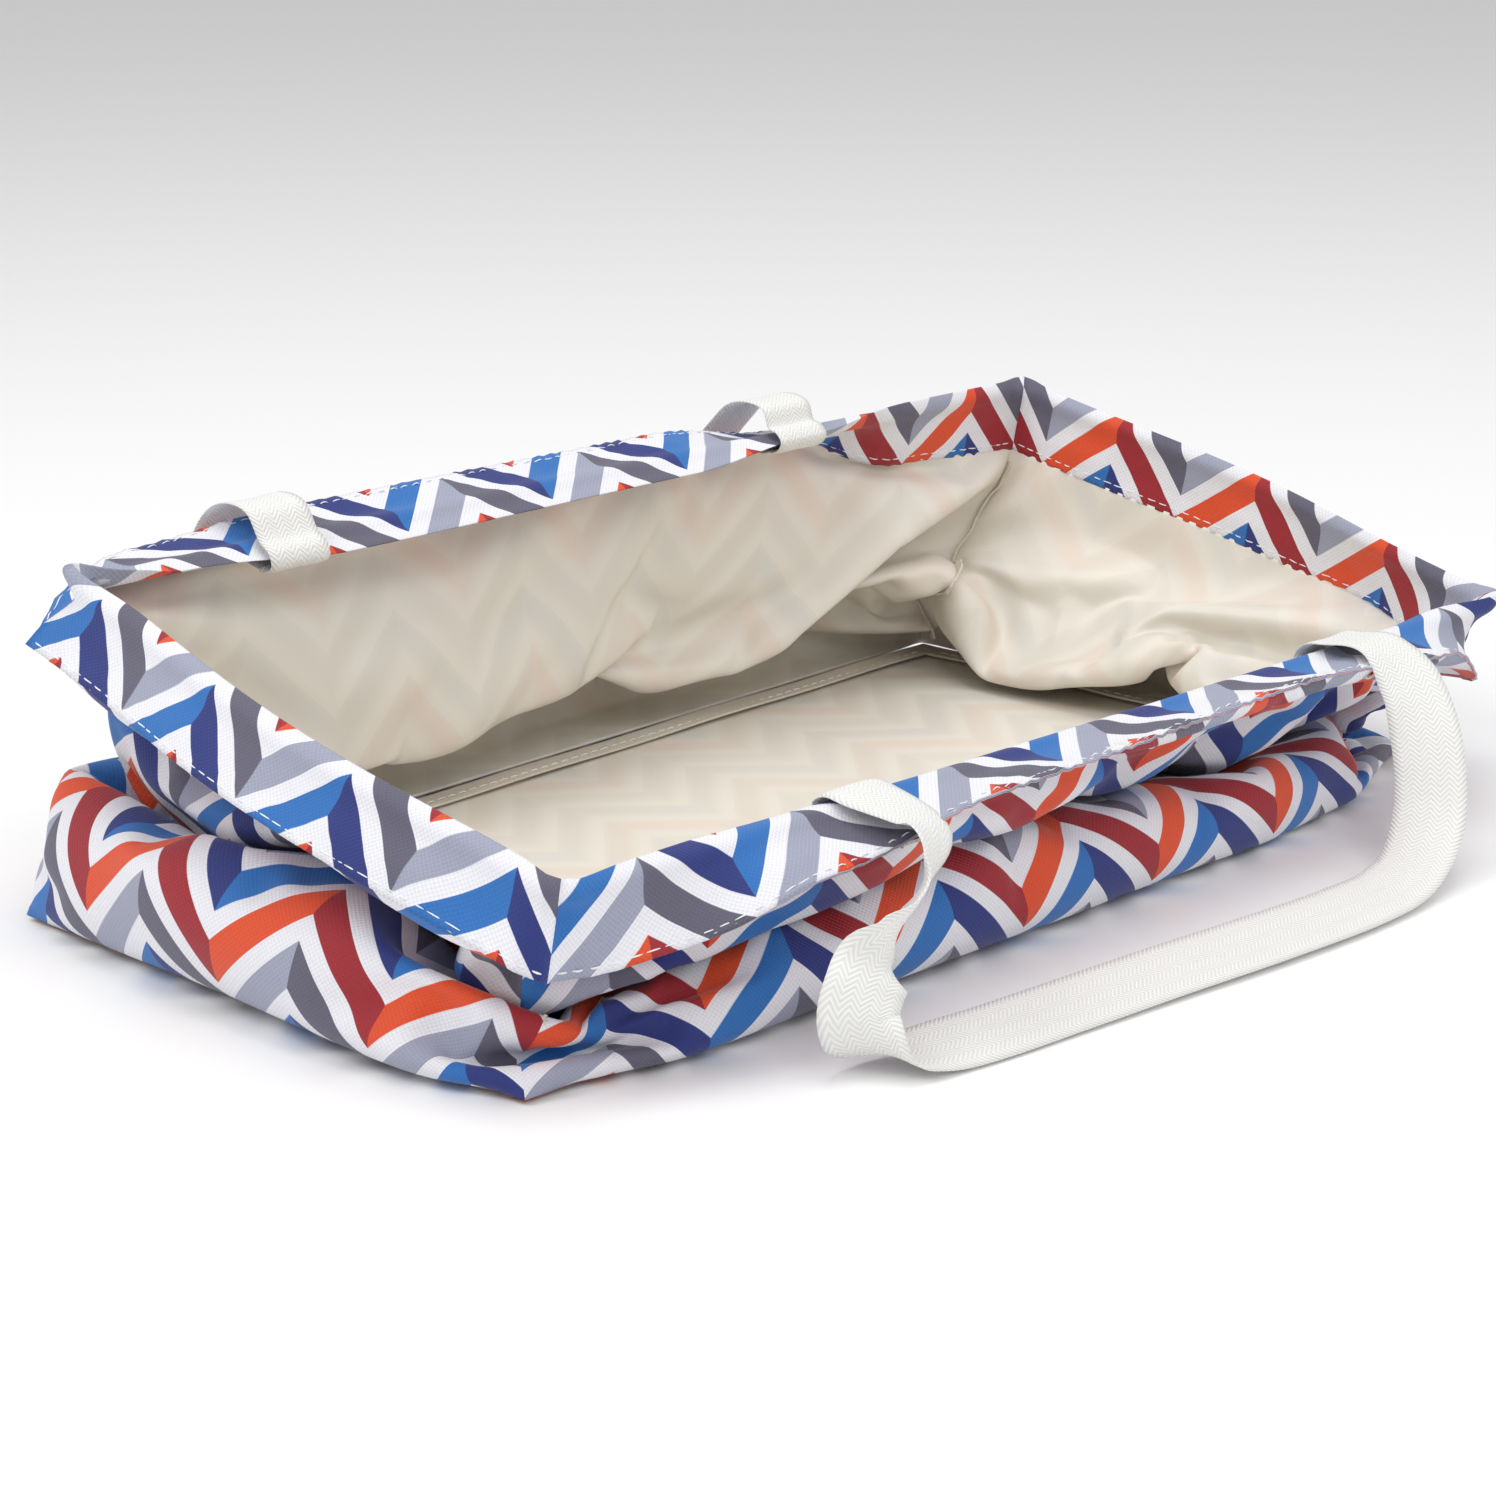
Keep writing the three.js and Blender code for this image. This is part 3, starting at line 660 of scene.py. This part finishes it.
FENCE = {"front": 43.0, "right": 36.0, "back": 46.0, "left": 38.0}
FENCE_CORNER = 7
FENCE_LEAN = ((-20, 0.97), (30, 1.0), (130, 0.97))        # height, and how far out as a share


def fence_collider():
    """Leaning boards that keep the lower folds from spreading over the floor."""
    outline = []
    for name, side in SIDES.items():
        for share in np.linspace(-1, 1, 13)[:-1]:
            stand = FENCE_CORNER + (FENCE[name] - FENCE_CORNER) * (1 - abs(share) ** 5)
            along = side["along"] * share * (side["half"] + FENCE_CORNER)
            outline.append(along + side["out"] * (side["reach"] + stand))
    points = [p * lean + UP * z for z, lean in FENCE_LEAN for p in outline]
    return collider("sim_fence", points, [f[::-1] for f in ring_faces(3, len(outline))])


def animate_shape(obj, end):
    """Moves an object's points evenly to their end places while the rim is lowered."""
    obj.shape_key_add(name="start")
    key = obj.shape_key_add(name="end")
    key.data.foreach_set("co", (np.asarray(end) * SIM_SCALE * MM).ravel())
    key.value = 0
    key.keyframe_insert("value", frame=2)
    key.value = 1
    key.keyframe_insert("value", frame=LOWERING_FRAMES)
    action = obj.data.shape_keys.animation_data.action
    for layer in action.layers:
        for strip in layer.strips:
            for bag in strip.channelbags:
                for curve in bag.fcurves:
                    for point in curve.keyframe_points:
                        point.interpolation = "LINEAR"


def cloth_shell():
    """The upright cloth with its start, end and unfolded shapes, held at the hem and at the bottom."""
    start = wall_grid(raised_top, wall_bias)
    end = start.copy()
    for c, (name, s) in enumerate(PLACES):
        end[0, c] = head_point(name, s)
    flat = wall_grid(raised_top, lambda name, s, t: 0.0)
    shell = new_object("sim_shell", start.reshape(-1, 3) * SIM_SCALE, wall_faces())
    animate_shape(shell, end.reshape(-1, 3))
    unfolded = shell.shape_key_add(name="flat")
    unfolded.data.foreach_set("co", (flat * SIM_SCALE * MM).ravel())
    group = shell.vertex_groups.new(name="pin")
    pinned = list(range(TOTAL_COLUMNS)) + [ROWS * TOTAL_COLUMNS + c for c in range(TOTAL_COLUMNS)]
    group.add(pinned, 1.0, "REPLACE")
    return shell, unfolded


def make_cloth(shell, unfolded):
    """Cloth that is stiff in its plane and bends easily. Only its lower half is puffed up."""
    cloth = shell.modifiers.new("cloth", "CLOTH")
    settings, contact = cloth.settings, cloth.collision_settings
    settings.quality = 7
    settings.mass = 0.12
    settings.air_damping = 2.0
    settings.tension_stiffness = settings.compression_stiffness = 40
    settings.shear_stiffness = 12
    settings.bending_model = "ANGULAR"
    settings.bending_stiffness = 2.0
    settings.tension_damping = settings.compression_damping = settings.shear_damping = 10
    settings.bending_damping = 1.0
    settings.vertex_group_mass = "pin"
    low = shell.vertex_groups.new(name="low")
    for r in range(ROWS + 1):
        share = float(smoothstep((r / ROWS - 0.5) / 0.12))
        low.add([r * TOTAL_COLUMNS + c for c in range(TOTAL_COLUMNS)], share, "REPLACE")
    settings.rest_shape_key = unfolded
    settings.use_pressure = True
    settings.uniform_pressure_force = PUFF
    settings.vertex_group_pressure = "low"
    settings.pin_stiffness = 1.0
    contact.use_collision = True
    contact.collision_quality = 3
    contact.distance_min = 0.006
    contact.use_self_collision = True
    contact.self_distance_min = 0.007
    contact.self_friction = 8
    return cloth


def crumple():
    """Lowers the rim on a cloth shell and returns the settled grid."""
    shell, unfolded = cloth_shell()
    floor = collider("sim_floor", rectangle(600, 500, 0), [(0, 1, 2, 3)])
    hem = hem_collider()
    fence = fence_collider()
    cloth = make_cloth(shell, unfolded)
    last = LOWERING_FRAMES + SETTLING_FRAMES
    cloth.point_cache.frame_start, cloth.point_cache.frame_end = 1, last
    scene = bpy.context.scene
    scene.frame_start, scene.frame_end = 1, last
    for number in range(1, last + 1):
        scene.frame_set(number)
    graph = bpy.context.evaluated_depsgraph_get()
    settled = shell.evaluated_get(graph).to_mesh()
    points = np.zeros(len(settled.vertices) * 3)
    settled.vertices.foreach_get("co", points)
    for obj in (shell, floor, hem, fence):
        discard(obj)
    scene.frame_set(1)
    return points.reshape(ROWS + 1, TOTAL_COLUMNS, 3) / (SIM_SCALE * MM)


walls = crumple()
WALL_SPLIT = int(ROWS * 0.26)        # row where the upper part ends
PARTS = (("upper", 0, WALL_SPLIT, ("rim", "walls")), ("lower", WALL_SPLIT, ROWS, ("walls", "base")))
CORNER_COLUMNS = {}
for side_name in SIDES:
    CORNER_COLUMNS[side_name] = sum(COLUMNS[n] for n in list(SIDES)[:list(SIDES).index(side_name)])
CORNER_CREASE = 0.7


def share_between(obj):
    """Bakes the piece's placement into its mesh."""
    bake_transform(obj)


def sheet_uvs():
    """Where the corners of the grid's faces lie in the print, in the order of wall_faces."""
    uvs = []
    for r in range(ROWS):
        low, high = (HEM + row * (CLOTH_HEIGHT - HEM) / ROWS for row in (r, r + 1))
        for name, s in PLACES:
            far = s + 2 * SIDES[name]["half"] / COLUMNS[name]
            uvs += [print_uv(name, at, v) for at, v in ((s, low), (s, high), (far, high), (far, low))]
    return uvs


def wall_sheet():
    """The whole shell, refined and given its two skins."""
    draft = new_object("draft", walls.reshape(-1, 3), wall_faces(), sheet_uvs(), materials=[PRINTED, LINED])
    layer = draft.data.attributes.new("share", "FLOAT", "POINT")
    layer.data.foreach_set("value", np.repeat(np.linspace(0, 1, ROWS + 1), TOTAL_COLUMNS).astype(np.float32))
    crease = draft.data.attributes.new("crease_edge", "FLOAT", "EDGE")
    seams = set(CORNER_COLUMNS.values())
    ends = np.zeros(len(draft.data.edges) * 2, int)
    draft.data.edges.foreach_get("vertices", ends)
    crease.data.foreach_set("value", [CORNER_CREASE if i == j and i in seams else 0.0
                                      for i, j in ends.reshape(-1, 2) % TOTAL_COLUMNS])
    fine = draft.modifiers.new("fine", "SUBSURF")
    fine.levels = fine.render_levels = 2
    fine.boundary_smooth = "PRESERVE_CORNERS"
    skin = draft.modifiers.new("skin", "SOLIDIFY")
    skin.thickness = CLOTH * MM
    skin.offset = 0
    skin.material_offset = 1
    skin.material_offset_rim = 1
    sheet = evaluated_copy(draft, "sheet")
    discard(draft)
    return sheet


def read(collection, field, width=1, kind=np.float32):
    """One field of a mesh collection as an array."""
    values = np.zeros(len(collection) * width, kind)
    collection.foreach_get(field, values)
    return values.reshape(-1, width) if width > 1 else values


def part_of_sheet(mesh, name, low, high):
    """The band of the shell between two shares of the cloth, closed along its cuts."""
    share = read(mesh.attributes["share"].data, "value")
    places, normals = read(mesh.vertices, "co", 3), read(mesh.vertices, "normal", 3)
    slots, uvs = read(mesh.polygons, "material_index", kind=np.int32), read(mesh.uv_layers[0].data, "uv", 2)
    skin = len(mesh.vertices) // 2
    faces, face_uvs, face_slots, used = [], [], [], {}

    def keep(vertices, corners, slot):
        faces.append([used.setdefault(v, len(used)) for v in vertices])
        face_uvs.extend(corners)
        face_slots.append(slot)
    for face in mesh.polygons:
        vertices = list(face.vertices)
        if not low < share[vertices].mean() < high:
            continue
        corners = [uvs[i] for i in face.loop_indices]
        keep(vertices, corners, slots[face.index])
        for k, v in enumerate(vertices):
            w = vertices[(k + 1) % len(vertices)]
            on_cut = any(0 < edge < 1 and abs(share[v] - edge) + abs(share[w] - edge) < 1e-4
                         for edge in (low, high))
            if on_cut and max(v, w) < skin:
                keep([w, v, v + skin, w + skin], [corners[k]] * 4, 0)
    order = list(used)
    obj = new_object(name, places[order] / MM, faces, face_uvs, face_slots, [PRINTED, LINED])
    obj.data.normals_split_custom_set_from_vertices(normals[order].tolist())
    return obj, (share[order] - max(low, 0)) / (min(high, 1) - max(low, 0))


def make_walls():
    """An upper part and a lower part of the walls; the upper one takes the place of the CAD wall nodes."""
    sheet = wall_sheet()
    split = WALL_SPLIT / ROWS
    for part, low, high, bodies in (("upper", -1, split, PARTS[0][3]), ("lower", split, 2, PARTS[1][3])):
        obj, shares = part_of_sheet(sheet.data, f"cloth_walls_{part}", low, high)
        share_between(obj)
        if part == "upper":
            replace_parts(obj, *[f"wall_{name}" for name in SIDES])
    discard(sheet)


make_walls()


# ---- Corner seams ----
TAPE_NEAR, TAPE_DEEP, TAPE_THICK = 0.9, 4.2, 1.2
FLOOR_CLEARANCE = 0.3


def refined(points, times):
    """Smooth line through points, with extra points between."""
    points = np.asarray(points, float)
    padded = np.vstack([2 * points[0] - points[1], points, 2 * points[-1] - points[-2]])
    line = []
    for i in range(len(points) - 1):
        a, b, c, d = padded[i:i + 4]
        for k in range(times):
            t = k / times
            line.append(0.5 * (2 * b + (c - a) * t + (2 * a - 5 * b + 4 * c - d) * t * t
                               + (3 * b - a - 3 * c + d) * t ** 3))
    line.append(points[-1])
    return np.array(line)


def unit(vector):
    return vector / np.linalg.norm(vector)


def seam_tape(name, node):
    """Tape bound over the seam allowance, standing into the bag along a corner."""
    column = CORNER_COLUMNS[name]
    before, after = (column - 1) % TOTAL_COLUMNS, column + 1
    for part, start, end, bodies in PARTS:
        first, last = max(start, 1), min(end, ROWS - 1)
        line = refined(walls[first:last + 1, column], 4)
        sideways = refined(walls[first:last + 1, after] - walls[first:last + 1, before], 4)
        points = []
        for i, p in enumerate(line):
            tangent = unit(line[min(i + 1, len(line) - 1)] - line[max(i - 1, 0)])
            inward = unit(np.cross(sideways[i], tangent))
            flat = np.cross(tangent, inward)
            deep = TAPE_DEEP + 0.5 * math.sin(i * 0.9)
            ring = [p + inward * a + flat * b * TAPE_THICK
                    for a, b in ((TAPE_NEAR, -0.5), (deep, -0.5), (deep, 0.5), (TAPE_NEAR, 0.5))]
            rise = max(0.0, FLOOR_CLEARANCE - min(q[2] for q in ring))
            points += [q + UP * rise for q in ring]
        count = len(line)
        faces = ring_faces(count, 4) + [(0, 1, 2, 3), tuple((count - 1) * 4 + i for i in (3, 2, 1, 0))]
        obj = new_object(f"seam_tape_{node}_{part}", points, faces, materials=[TAPE], smooth=False)
        share_between(obj)
        if part == "upper":
            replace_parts(obj, f"corner_binding_{node}")


for side_name, corner in (("front", "front_left"), ("right", "front_right"), ("back", "back_right"),
                          ("left", "back_left")):
    seam_tape(side_name, corner)


# ---- Bottom ----
BOTTOM_COLUMNS, BOTTOM_ROWS = 60, 30
BOTTOM_INSET = 5


def bottom_point(i, j, top):
    """A point of the underside, which is flat, or of the rippled inside."""
    nx, ny = BOTTOM_COLUMNS, BOTTOM_ROWS
    x, y = (LENGTH - BOTTOM_INSET) * (i / nx - 0.5), (WIDTH - BOTTOM_INSET) * (j / ny - 0.5)
    inside = min(1, 8 * min(i, nx - i) / nx) * min(1, 6 * min(j, ny - j) / ny)
    ripple = 1.1 * inside * (1 + math.sin(x * 0.021 + y * 0.017) * math.sin(y * 0.03 - x * 0.008))
    return (x, y, (0.1 if not top else CLOTH + 0.4 + ripple))


def make_bottom():
    """The bottom panel: printed below and at its edges, lining above."""
    nx, ny = BOTTOM_COLUMNS, BOTTOM_ROWS
    points = [bottom_point(i, j, top) for top in (0, 1) for j in range(ny + 1) for i in range(nx + 1)]
    faces, uvs, slots = [], [], []
    per = (nx + 1) * (ny + 1)
    for top in (0, 1):
        for j in range(ny):
            for i in range(nx):
                a = top * per + j * (nx + 1) + i
                quad = [a, a + 1, a + nx + 2, a + nx + 1]
                quad = quad if top else quad[::-1]
                faces.append(quad)
                slots.append(1 if top else 0)
                for k in quad:
                    x, y, _ = points[k]
                    uvs.append((-x * MM, (CLOTH_HEIGHT + WIDTH / 2 - y) * MM))
    edge = [i for i in range(nx)] + [nx + j * (nx + 1) for j in range(ny)]
    edge += [ny * (nx + 1) + i for i in range(nx, 0, -1)] + [j * (nx + 1) for j in range(ny, 0, -1)]
    for k, a in enumerate(edge):
        b = edge[(k + 1) % len(edge)]
        faces.append([a, b, b + per, a + per])
        slots.append(0)
        uvs += [(0.0, 0.0)] * 4
    obj = new_object("cloth_bottom", points, faces, uvs, slots, [PRINTED, LINED])
    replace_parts(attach(obj, "base"), "bottom_panel")


make_bottom()


def bottom_seam():
    """Bound seam lying flat round the inside of the bottom, with its row of stitches."""
    threads = Threads()
    points = []
    wide, thick, inset, lift = 13.0, 1.2, 9.0, 3.9
    stitch_in = inset + 9.5
    outline = []
    for side in SIDES.values():
        for s in np.linspace(-side["half"] + inset, side["half"] - inset, 41)[:-1]:
            corner = smoothstep((abs(s) - side["half"] + inset + 14) / 14)
            place = side["along"] * s + side["out"] * (side["reach"] - inset)
            outline.append((place, -(side["out"] + side["along"] * (corner * math.copysign(1, s)))))
    for i, (p, inward) in enumerate(outline):
        ripple = 0.35 * math.sin(i * 0.7) + 0.3 * math.sin(i * 0.23)
        for a, b in ((0, 0), (wide, 0), (wide, thick), (0, thick)):
            points.append(p + inward * a + UP * (lift + ripple + b))
    faces = ring_faces(len(outline), 4, closed=True)
    obj = new_object("seam_tape_bottom", points, faces, materials=[TAPE], smooth=False)
    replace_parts(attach(obj, "base"), "bottom_seam_binding")
    for side in SIDES.values():
        s = -side["half"] + 26
        while s < side["half"] - 30:
            line = [side["along"] * at + side["out"] * (side["reach"] - stitch_in) + UP * (lift + thick + 0.1)
                    for at in np.linspace(s, s + STITCH, 5)]
            threads.stitch(line, UP)
            s += STITCH + STITCH_GAP
    threads.finish("stitches_bottom", "base")


bottom_seam()

# ---- Handles ----
HANDLE_SPAN, FRONT_OFFSET, BACK_OFFSET = 316.0, 16.0, -37.0


def about_wire(side, x, degrees, radius):
    """A point outside the front (-1) or back (1) wire, at an angle above the outward horizontal."""
    angle = math.radians(degrees)
    return to_world((x, side * (WIDTH / 2 + radius * math.cos(angle)), radius * math.sin(angle)))


def smooth_path(keys, per):
    """Centripetal spline through the keys; each key is (point, width direction)."""
    points = np.array([k[0] for k in keys], float)
    widths = np.array([k[1] for k in keys], float)
    padded = np.vstack([2 * points[0] - points[1], points, 2 * points[-1] - points[-2]])
    path, across = [], []
    for i in range(len(points) - 1):
        quad = padded[i:i + 4]
        steps = np.sqrt(np.maximum(np.linalg.norm(np.diff(quad, axis=0), axis=1), 1e-6))
        knots = np.concatenate([[0], np.cumsum(steps)])
        last = i == len(points) - 2
        for k in range(per + 1 if last else per):
            t = knots[1] + (knots[2] - knots[1]) * k / per
            path.append(between(quad, knots, t))
            share = smoothstep(k / per)
            across.append(widths[i] * (1 - share) + widths[i + 1] * share)
    return np.array(path), np.array(across)


def between(level, knots, t):
    """Value at t of the spline with these four points and knots, between the middle two."""
    for reach in (1, 2):
        pairs = zip(level, level[1:], knots, knots[reach:])
        level = [(one * (end - t) + other * (t - start)) / (end - start) for one, other, start, end in pairs]
    return (level[0] * (knots[2] - t) + level[1] * (t - knots[1])) / (knots[2] - knots[1])


STRAP_COLUMNS = 9


def strap_mesh(name, keys, per=8):
    """A flat woven strap along keys: the object, each point's distance along it, and the whole length."""
    path, across = smooth_path(keys, per)
    lengths = np.concatenate([[0], np.cumsum(np.linalg.norm(np.diff(path, axis=0), axis=1))])
    points, uvs_at, run = [], [], []
    edge = np.linspace(-1, 1, STRAP_COLUMNS)
    for i, p in enumerate(path):
        tangent = unit(path[min(i + 1, len(path) - 1)] - path[max(i - 1, 0)])
        wide = unit(across[i] - tangent * across[i].dot(tangent))
        face = np.cross(tangent, wide)
        cup = 0.7 * math.sin(lengths[i] * 0.021) + 0.4
        for sign in (1, -1):
            for a in edge[::sign]:
                thin = WEBBING_THICK / 2 * (1 - 0.75 * a ** 12)
                points.append(p + wide * a * WEBBING / 2 + face * (sign * thin - cup * a * a))
                uvs_at.append(((a + 1) * WEBBING / 2 * MM, lengths[i] * MM))
                run.append(lengths[i])
    ring = 2 * STRAP_COLUMNS
    faces = ring_faces(len(path), ring)
    faces += [tuple(range(ring)), tuple((len(path) - 1) * ring + k for k in range(ring))[::-1]]
    uvs = [uvs_at[i] for face in faces for i in face]
    return new_object(name, points, faces, uvs, materials=[STRAP]), np.array(run), lengths[-1]


def hem_leg(name, s, width):
    """Keys from the hem's inner face, round its folded edge and over the wire."""
    point, across, face = hem_frame(name, s)
    wire_at = wire_place(name, s)

    def at(distance, offset):
        return point + across * (distance - wire_at) + face * offset
    return [(at(5, -5.4), width), (at(0.5, -4.2), width), (at(-2.6, 0), width), (at(0.5, 4.4), width),
            (at(wire_at * 0.6, 6.4), width), (at(wire_at + 3, 7.2), width)]


def rim_axis(sign=1.0):
    """Along the rim, to the right for 1 and to the left for -1."""
    return RIM_TURN @ np.array([sign, 0, 0])


def key(x, y, z, *width):
    """A point the middle of the strap goes through, and which way its width lies there."""
    return (np.array([x, y, z], float), np.array(width, float))


def hang_handle(name, node, keys):
    """A handle strap along the keys, in place of its CAD node."""
    obj, run, total = strap_mesh(name, keys)
    share_between(obj)
    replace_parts(obj, node)


def front_handle():
    """Lies on the floor in front, twisted at its left bend."""
    left, right = FRONT_OFFSET - HANDLE_SPAN / 2, FRONT_OFFSET + HANDLE_SPAN / 2
    along = rim_axis()
    keys = hem_leg("front", left, along) + [
        key(-135, -210, 82, 0.95, 0.3, -0.1),
        key(-147, -219, 67, 0.85, 0.5, 0),
        key(-160, -222, 58, 0.8, 0.58, 0),
        key(-175, -224, 48, 0.92, 0.2, 0.2),
        key(-190, -226, 37, 0.88, -0.35, 0.25),
        key(-197, -228, 23, 0.75, -0.62, 0.1),
        key(-190, -231, 11, 0.5, -0.86, 0),
        key(-172, -236, 6.5, 0.25, -0.95, -0.2),
        key(-145, -242, 6, 0.1, -0.96, -0.27),
        key(-97, -248, 6, 0.06, -0.96, -0.27),
        key(-41, -255, 6, 0.06, -0.96, -0.27),
        key(18, -263, 6, 0.06, -0.96, -0.27),
        key(80, -268, 6, 0.05, -0.96, -0.25),
        key(116, -267, 7, 0.1, -0.97, -0.2),
        key(142, -262, 13, 0.4, -0.9, 0),
        key(160, -256, 28, 0.6, -0.8, 0),
        key(171, -246, 54, 0.67, -0.74, 0),
        key(178, -232, 77, 0.85, -0.5, 0),
        (about_wire(-1, right + 2, 32, 24), along),
    ] + hem_leg("front", right, along)[::-1]
    hang_handle("strap_front", "handle_front", keys)


def back_handle():
    """Arches over the back hem and hangs behind the bag."""
    left, right = BACK_OFFSET - HANDLE_SPAN / 2, BACK_OFFSET + HANDLE_SPAN / 2
    one, other = rim_axis(), rim_axis(-1)

    def arch(x, width):
        return [(about_wire(1, x, degrees, radius), width) for degrees, radius in
                ((75, 15), (48, 20), (20, 28), (-6, 37))]
    keys = hem_leg("back", -left, one)[:-1] + arch(left, one) + [
        key(-177, 186, 100, 1, 0, 0),
        key(-180, 214, 56, 1, 0, 0.1),
        key(-168, 226, 22, 0.75, 0.1, 0.65),
        key(-136, 231, 17.4, 0.1, 0.1, 1),
        key(-60, 234, 17, 0, 0.12, 1),
        key(30, 234, 17, 0, 0.12, 1),
        key(94, 231, 17.4, -0.1, 0.1, 1),
        key(130, 226, 22, -0.75, 0.1, 0.65),
        key(140, 214, 56, -1, 0, 0.1),
        key(134, 186, 100, -1, 0, 0),
    ] + arch(right, other)[::-1] + hem_leg("back", -right, other)[:-1][::-1]
    hang_handle("strap_back", "handle_back", keys)


def handle_tab(name, x, node):
    """The end of a handle, sewn flat under the hem's inner layer."""
    sign = 1 if name == "front" else -1
    width = rim_axis()
    point, across, face = hem_frame(name, sign * x)
    wire_at = wire_place(name, sign * x)
    keys = [(point + across * (d - wire_at) + face * e, width)
            for d, e in ((5.0, -5.4), (wire_at + 1, -6.4), (wire_at + 9, -4.4), (26, -2.8), (37, -2.5))]
    obj, _, _ = strap_mesh(f"strap_end_{node}", keys, 4)
    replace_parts(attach(obj, "rim"), f"handle_end_{node}")


front_handle()
back_handle()
for side_name, offset in (("front", FRONT_OFFSET), ("back", BACK_OFFSET)):
    handle_tab(side_name, offset - HANDLE_SPAN / 2, f"{side_name}_left")
    handle_tab(side_name, offset + HANDLE_SPAN / 2, f"{side_name}_right")


def dress_nodes():
    """CAD nodes that show as they are, with a finish."""
    for node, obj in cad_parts.items():
        if obj.hide_render:
            continue
        if "wire" in node:
            look = STEEL
        elif "binding" in node:
            look = TAPE
        elif "topstitch" in node:
            look = THREAD
        else:
            look = STRAP
        obj.data.materials.clear()
        obj.data.materials.append(look)


dress_nodes()


# ---- Floor, light and camera ----
FLOOR_HALF, FLOOR_DROP = 9000, -0.3
LAMPS = (
    # name, place, size, power
    ("key", (-1.9, 0.9, 2.2), 1.3, 25),
    ("fill", (1.6, -1.9, 1.6), 1.8, 10),
    ("front", (-0.9, -1.9, 2.0), 1.4, 12),
    ("top", (0.1, -0.1, 2.6), 1.6, 22),
)


def stage_scene():
    """White floor and surroundings, and four soft lamps that all look at the bag."""
    floor_material, g, shader = begin_material("floor")
    g.fill(shader, Base_Color=(0.93, 0.93, 0.93, 1), Roughness=0.9)
    corners = rectangle(FLOOR_HALF, FLOOR_HALF, FLOOR_DROP)
    floor = new_object("floor", corners, [(0, 1, 2, 3)], materials=[floor_material])
    world = bpy.data.worlds.new("studio")
    world.use_nodes = True
    background = world.node_tree.nodes["Background"]
    background.inputs["Color"].default_value = (1.0, 1.0, 1.0, 1)
    background.inputs["Strength"].default_value = 0.56
    bpy.context.scene.world = world
    bpy.context.scene.view_settings.view_transform = "Standard"
    for name, place, size, power in LAMPS:
        data = bpy.data.lights.new(name, "AREA")
        data.energy, data.size = power, size
        lamp = bpy.data.objects.new(name, data)
        lamp.location = place
        lamp.rotation_euler = (-Vector(place)).to_track_quat("-Z", "Y").to_euler()
        bpy.context.scene.collection.objects.link(lamp)


CAMERA_PLACE, CAMERA_LENS = (-1.1523, -1.0409, 0.5153), 85.4
CAMERA_AZIMUTH, CAMERA_ELEVATION = -47.69, 17


def place_camera():
    data = bpy.data.cameras.new("camera")
    data.sensor_width = 36
    data.lens = CAMERA_LENS
    camera = bpy.data.objects.new("camera", data)
    azimuth, elevation = math.radians(CAMERA_AZIMUTH), math.radians(CAMERA_ELEVATION)
    back = Vector((math.sin(azimuth) * math.cos(elevation), -math.cos(azimuth) * math.cos(elevation),
                   math.sin(elevation)))
    camera.location = CAMERA_PLACE
    camera.rotation_euler = back.to_track_quat("Z", "Y").to_euler()
    bpy.context.scene.collection.objects.link(camera)
    bpy.context.scene.camera = camera


stage_scene()
place_camera()
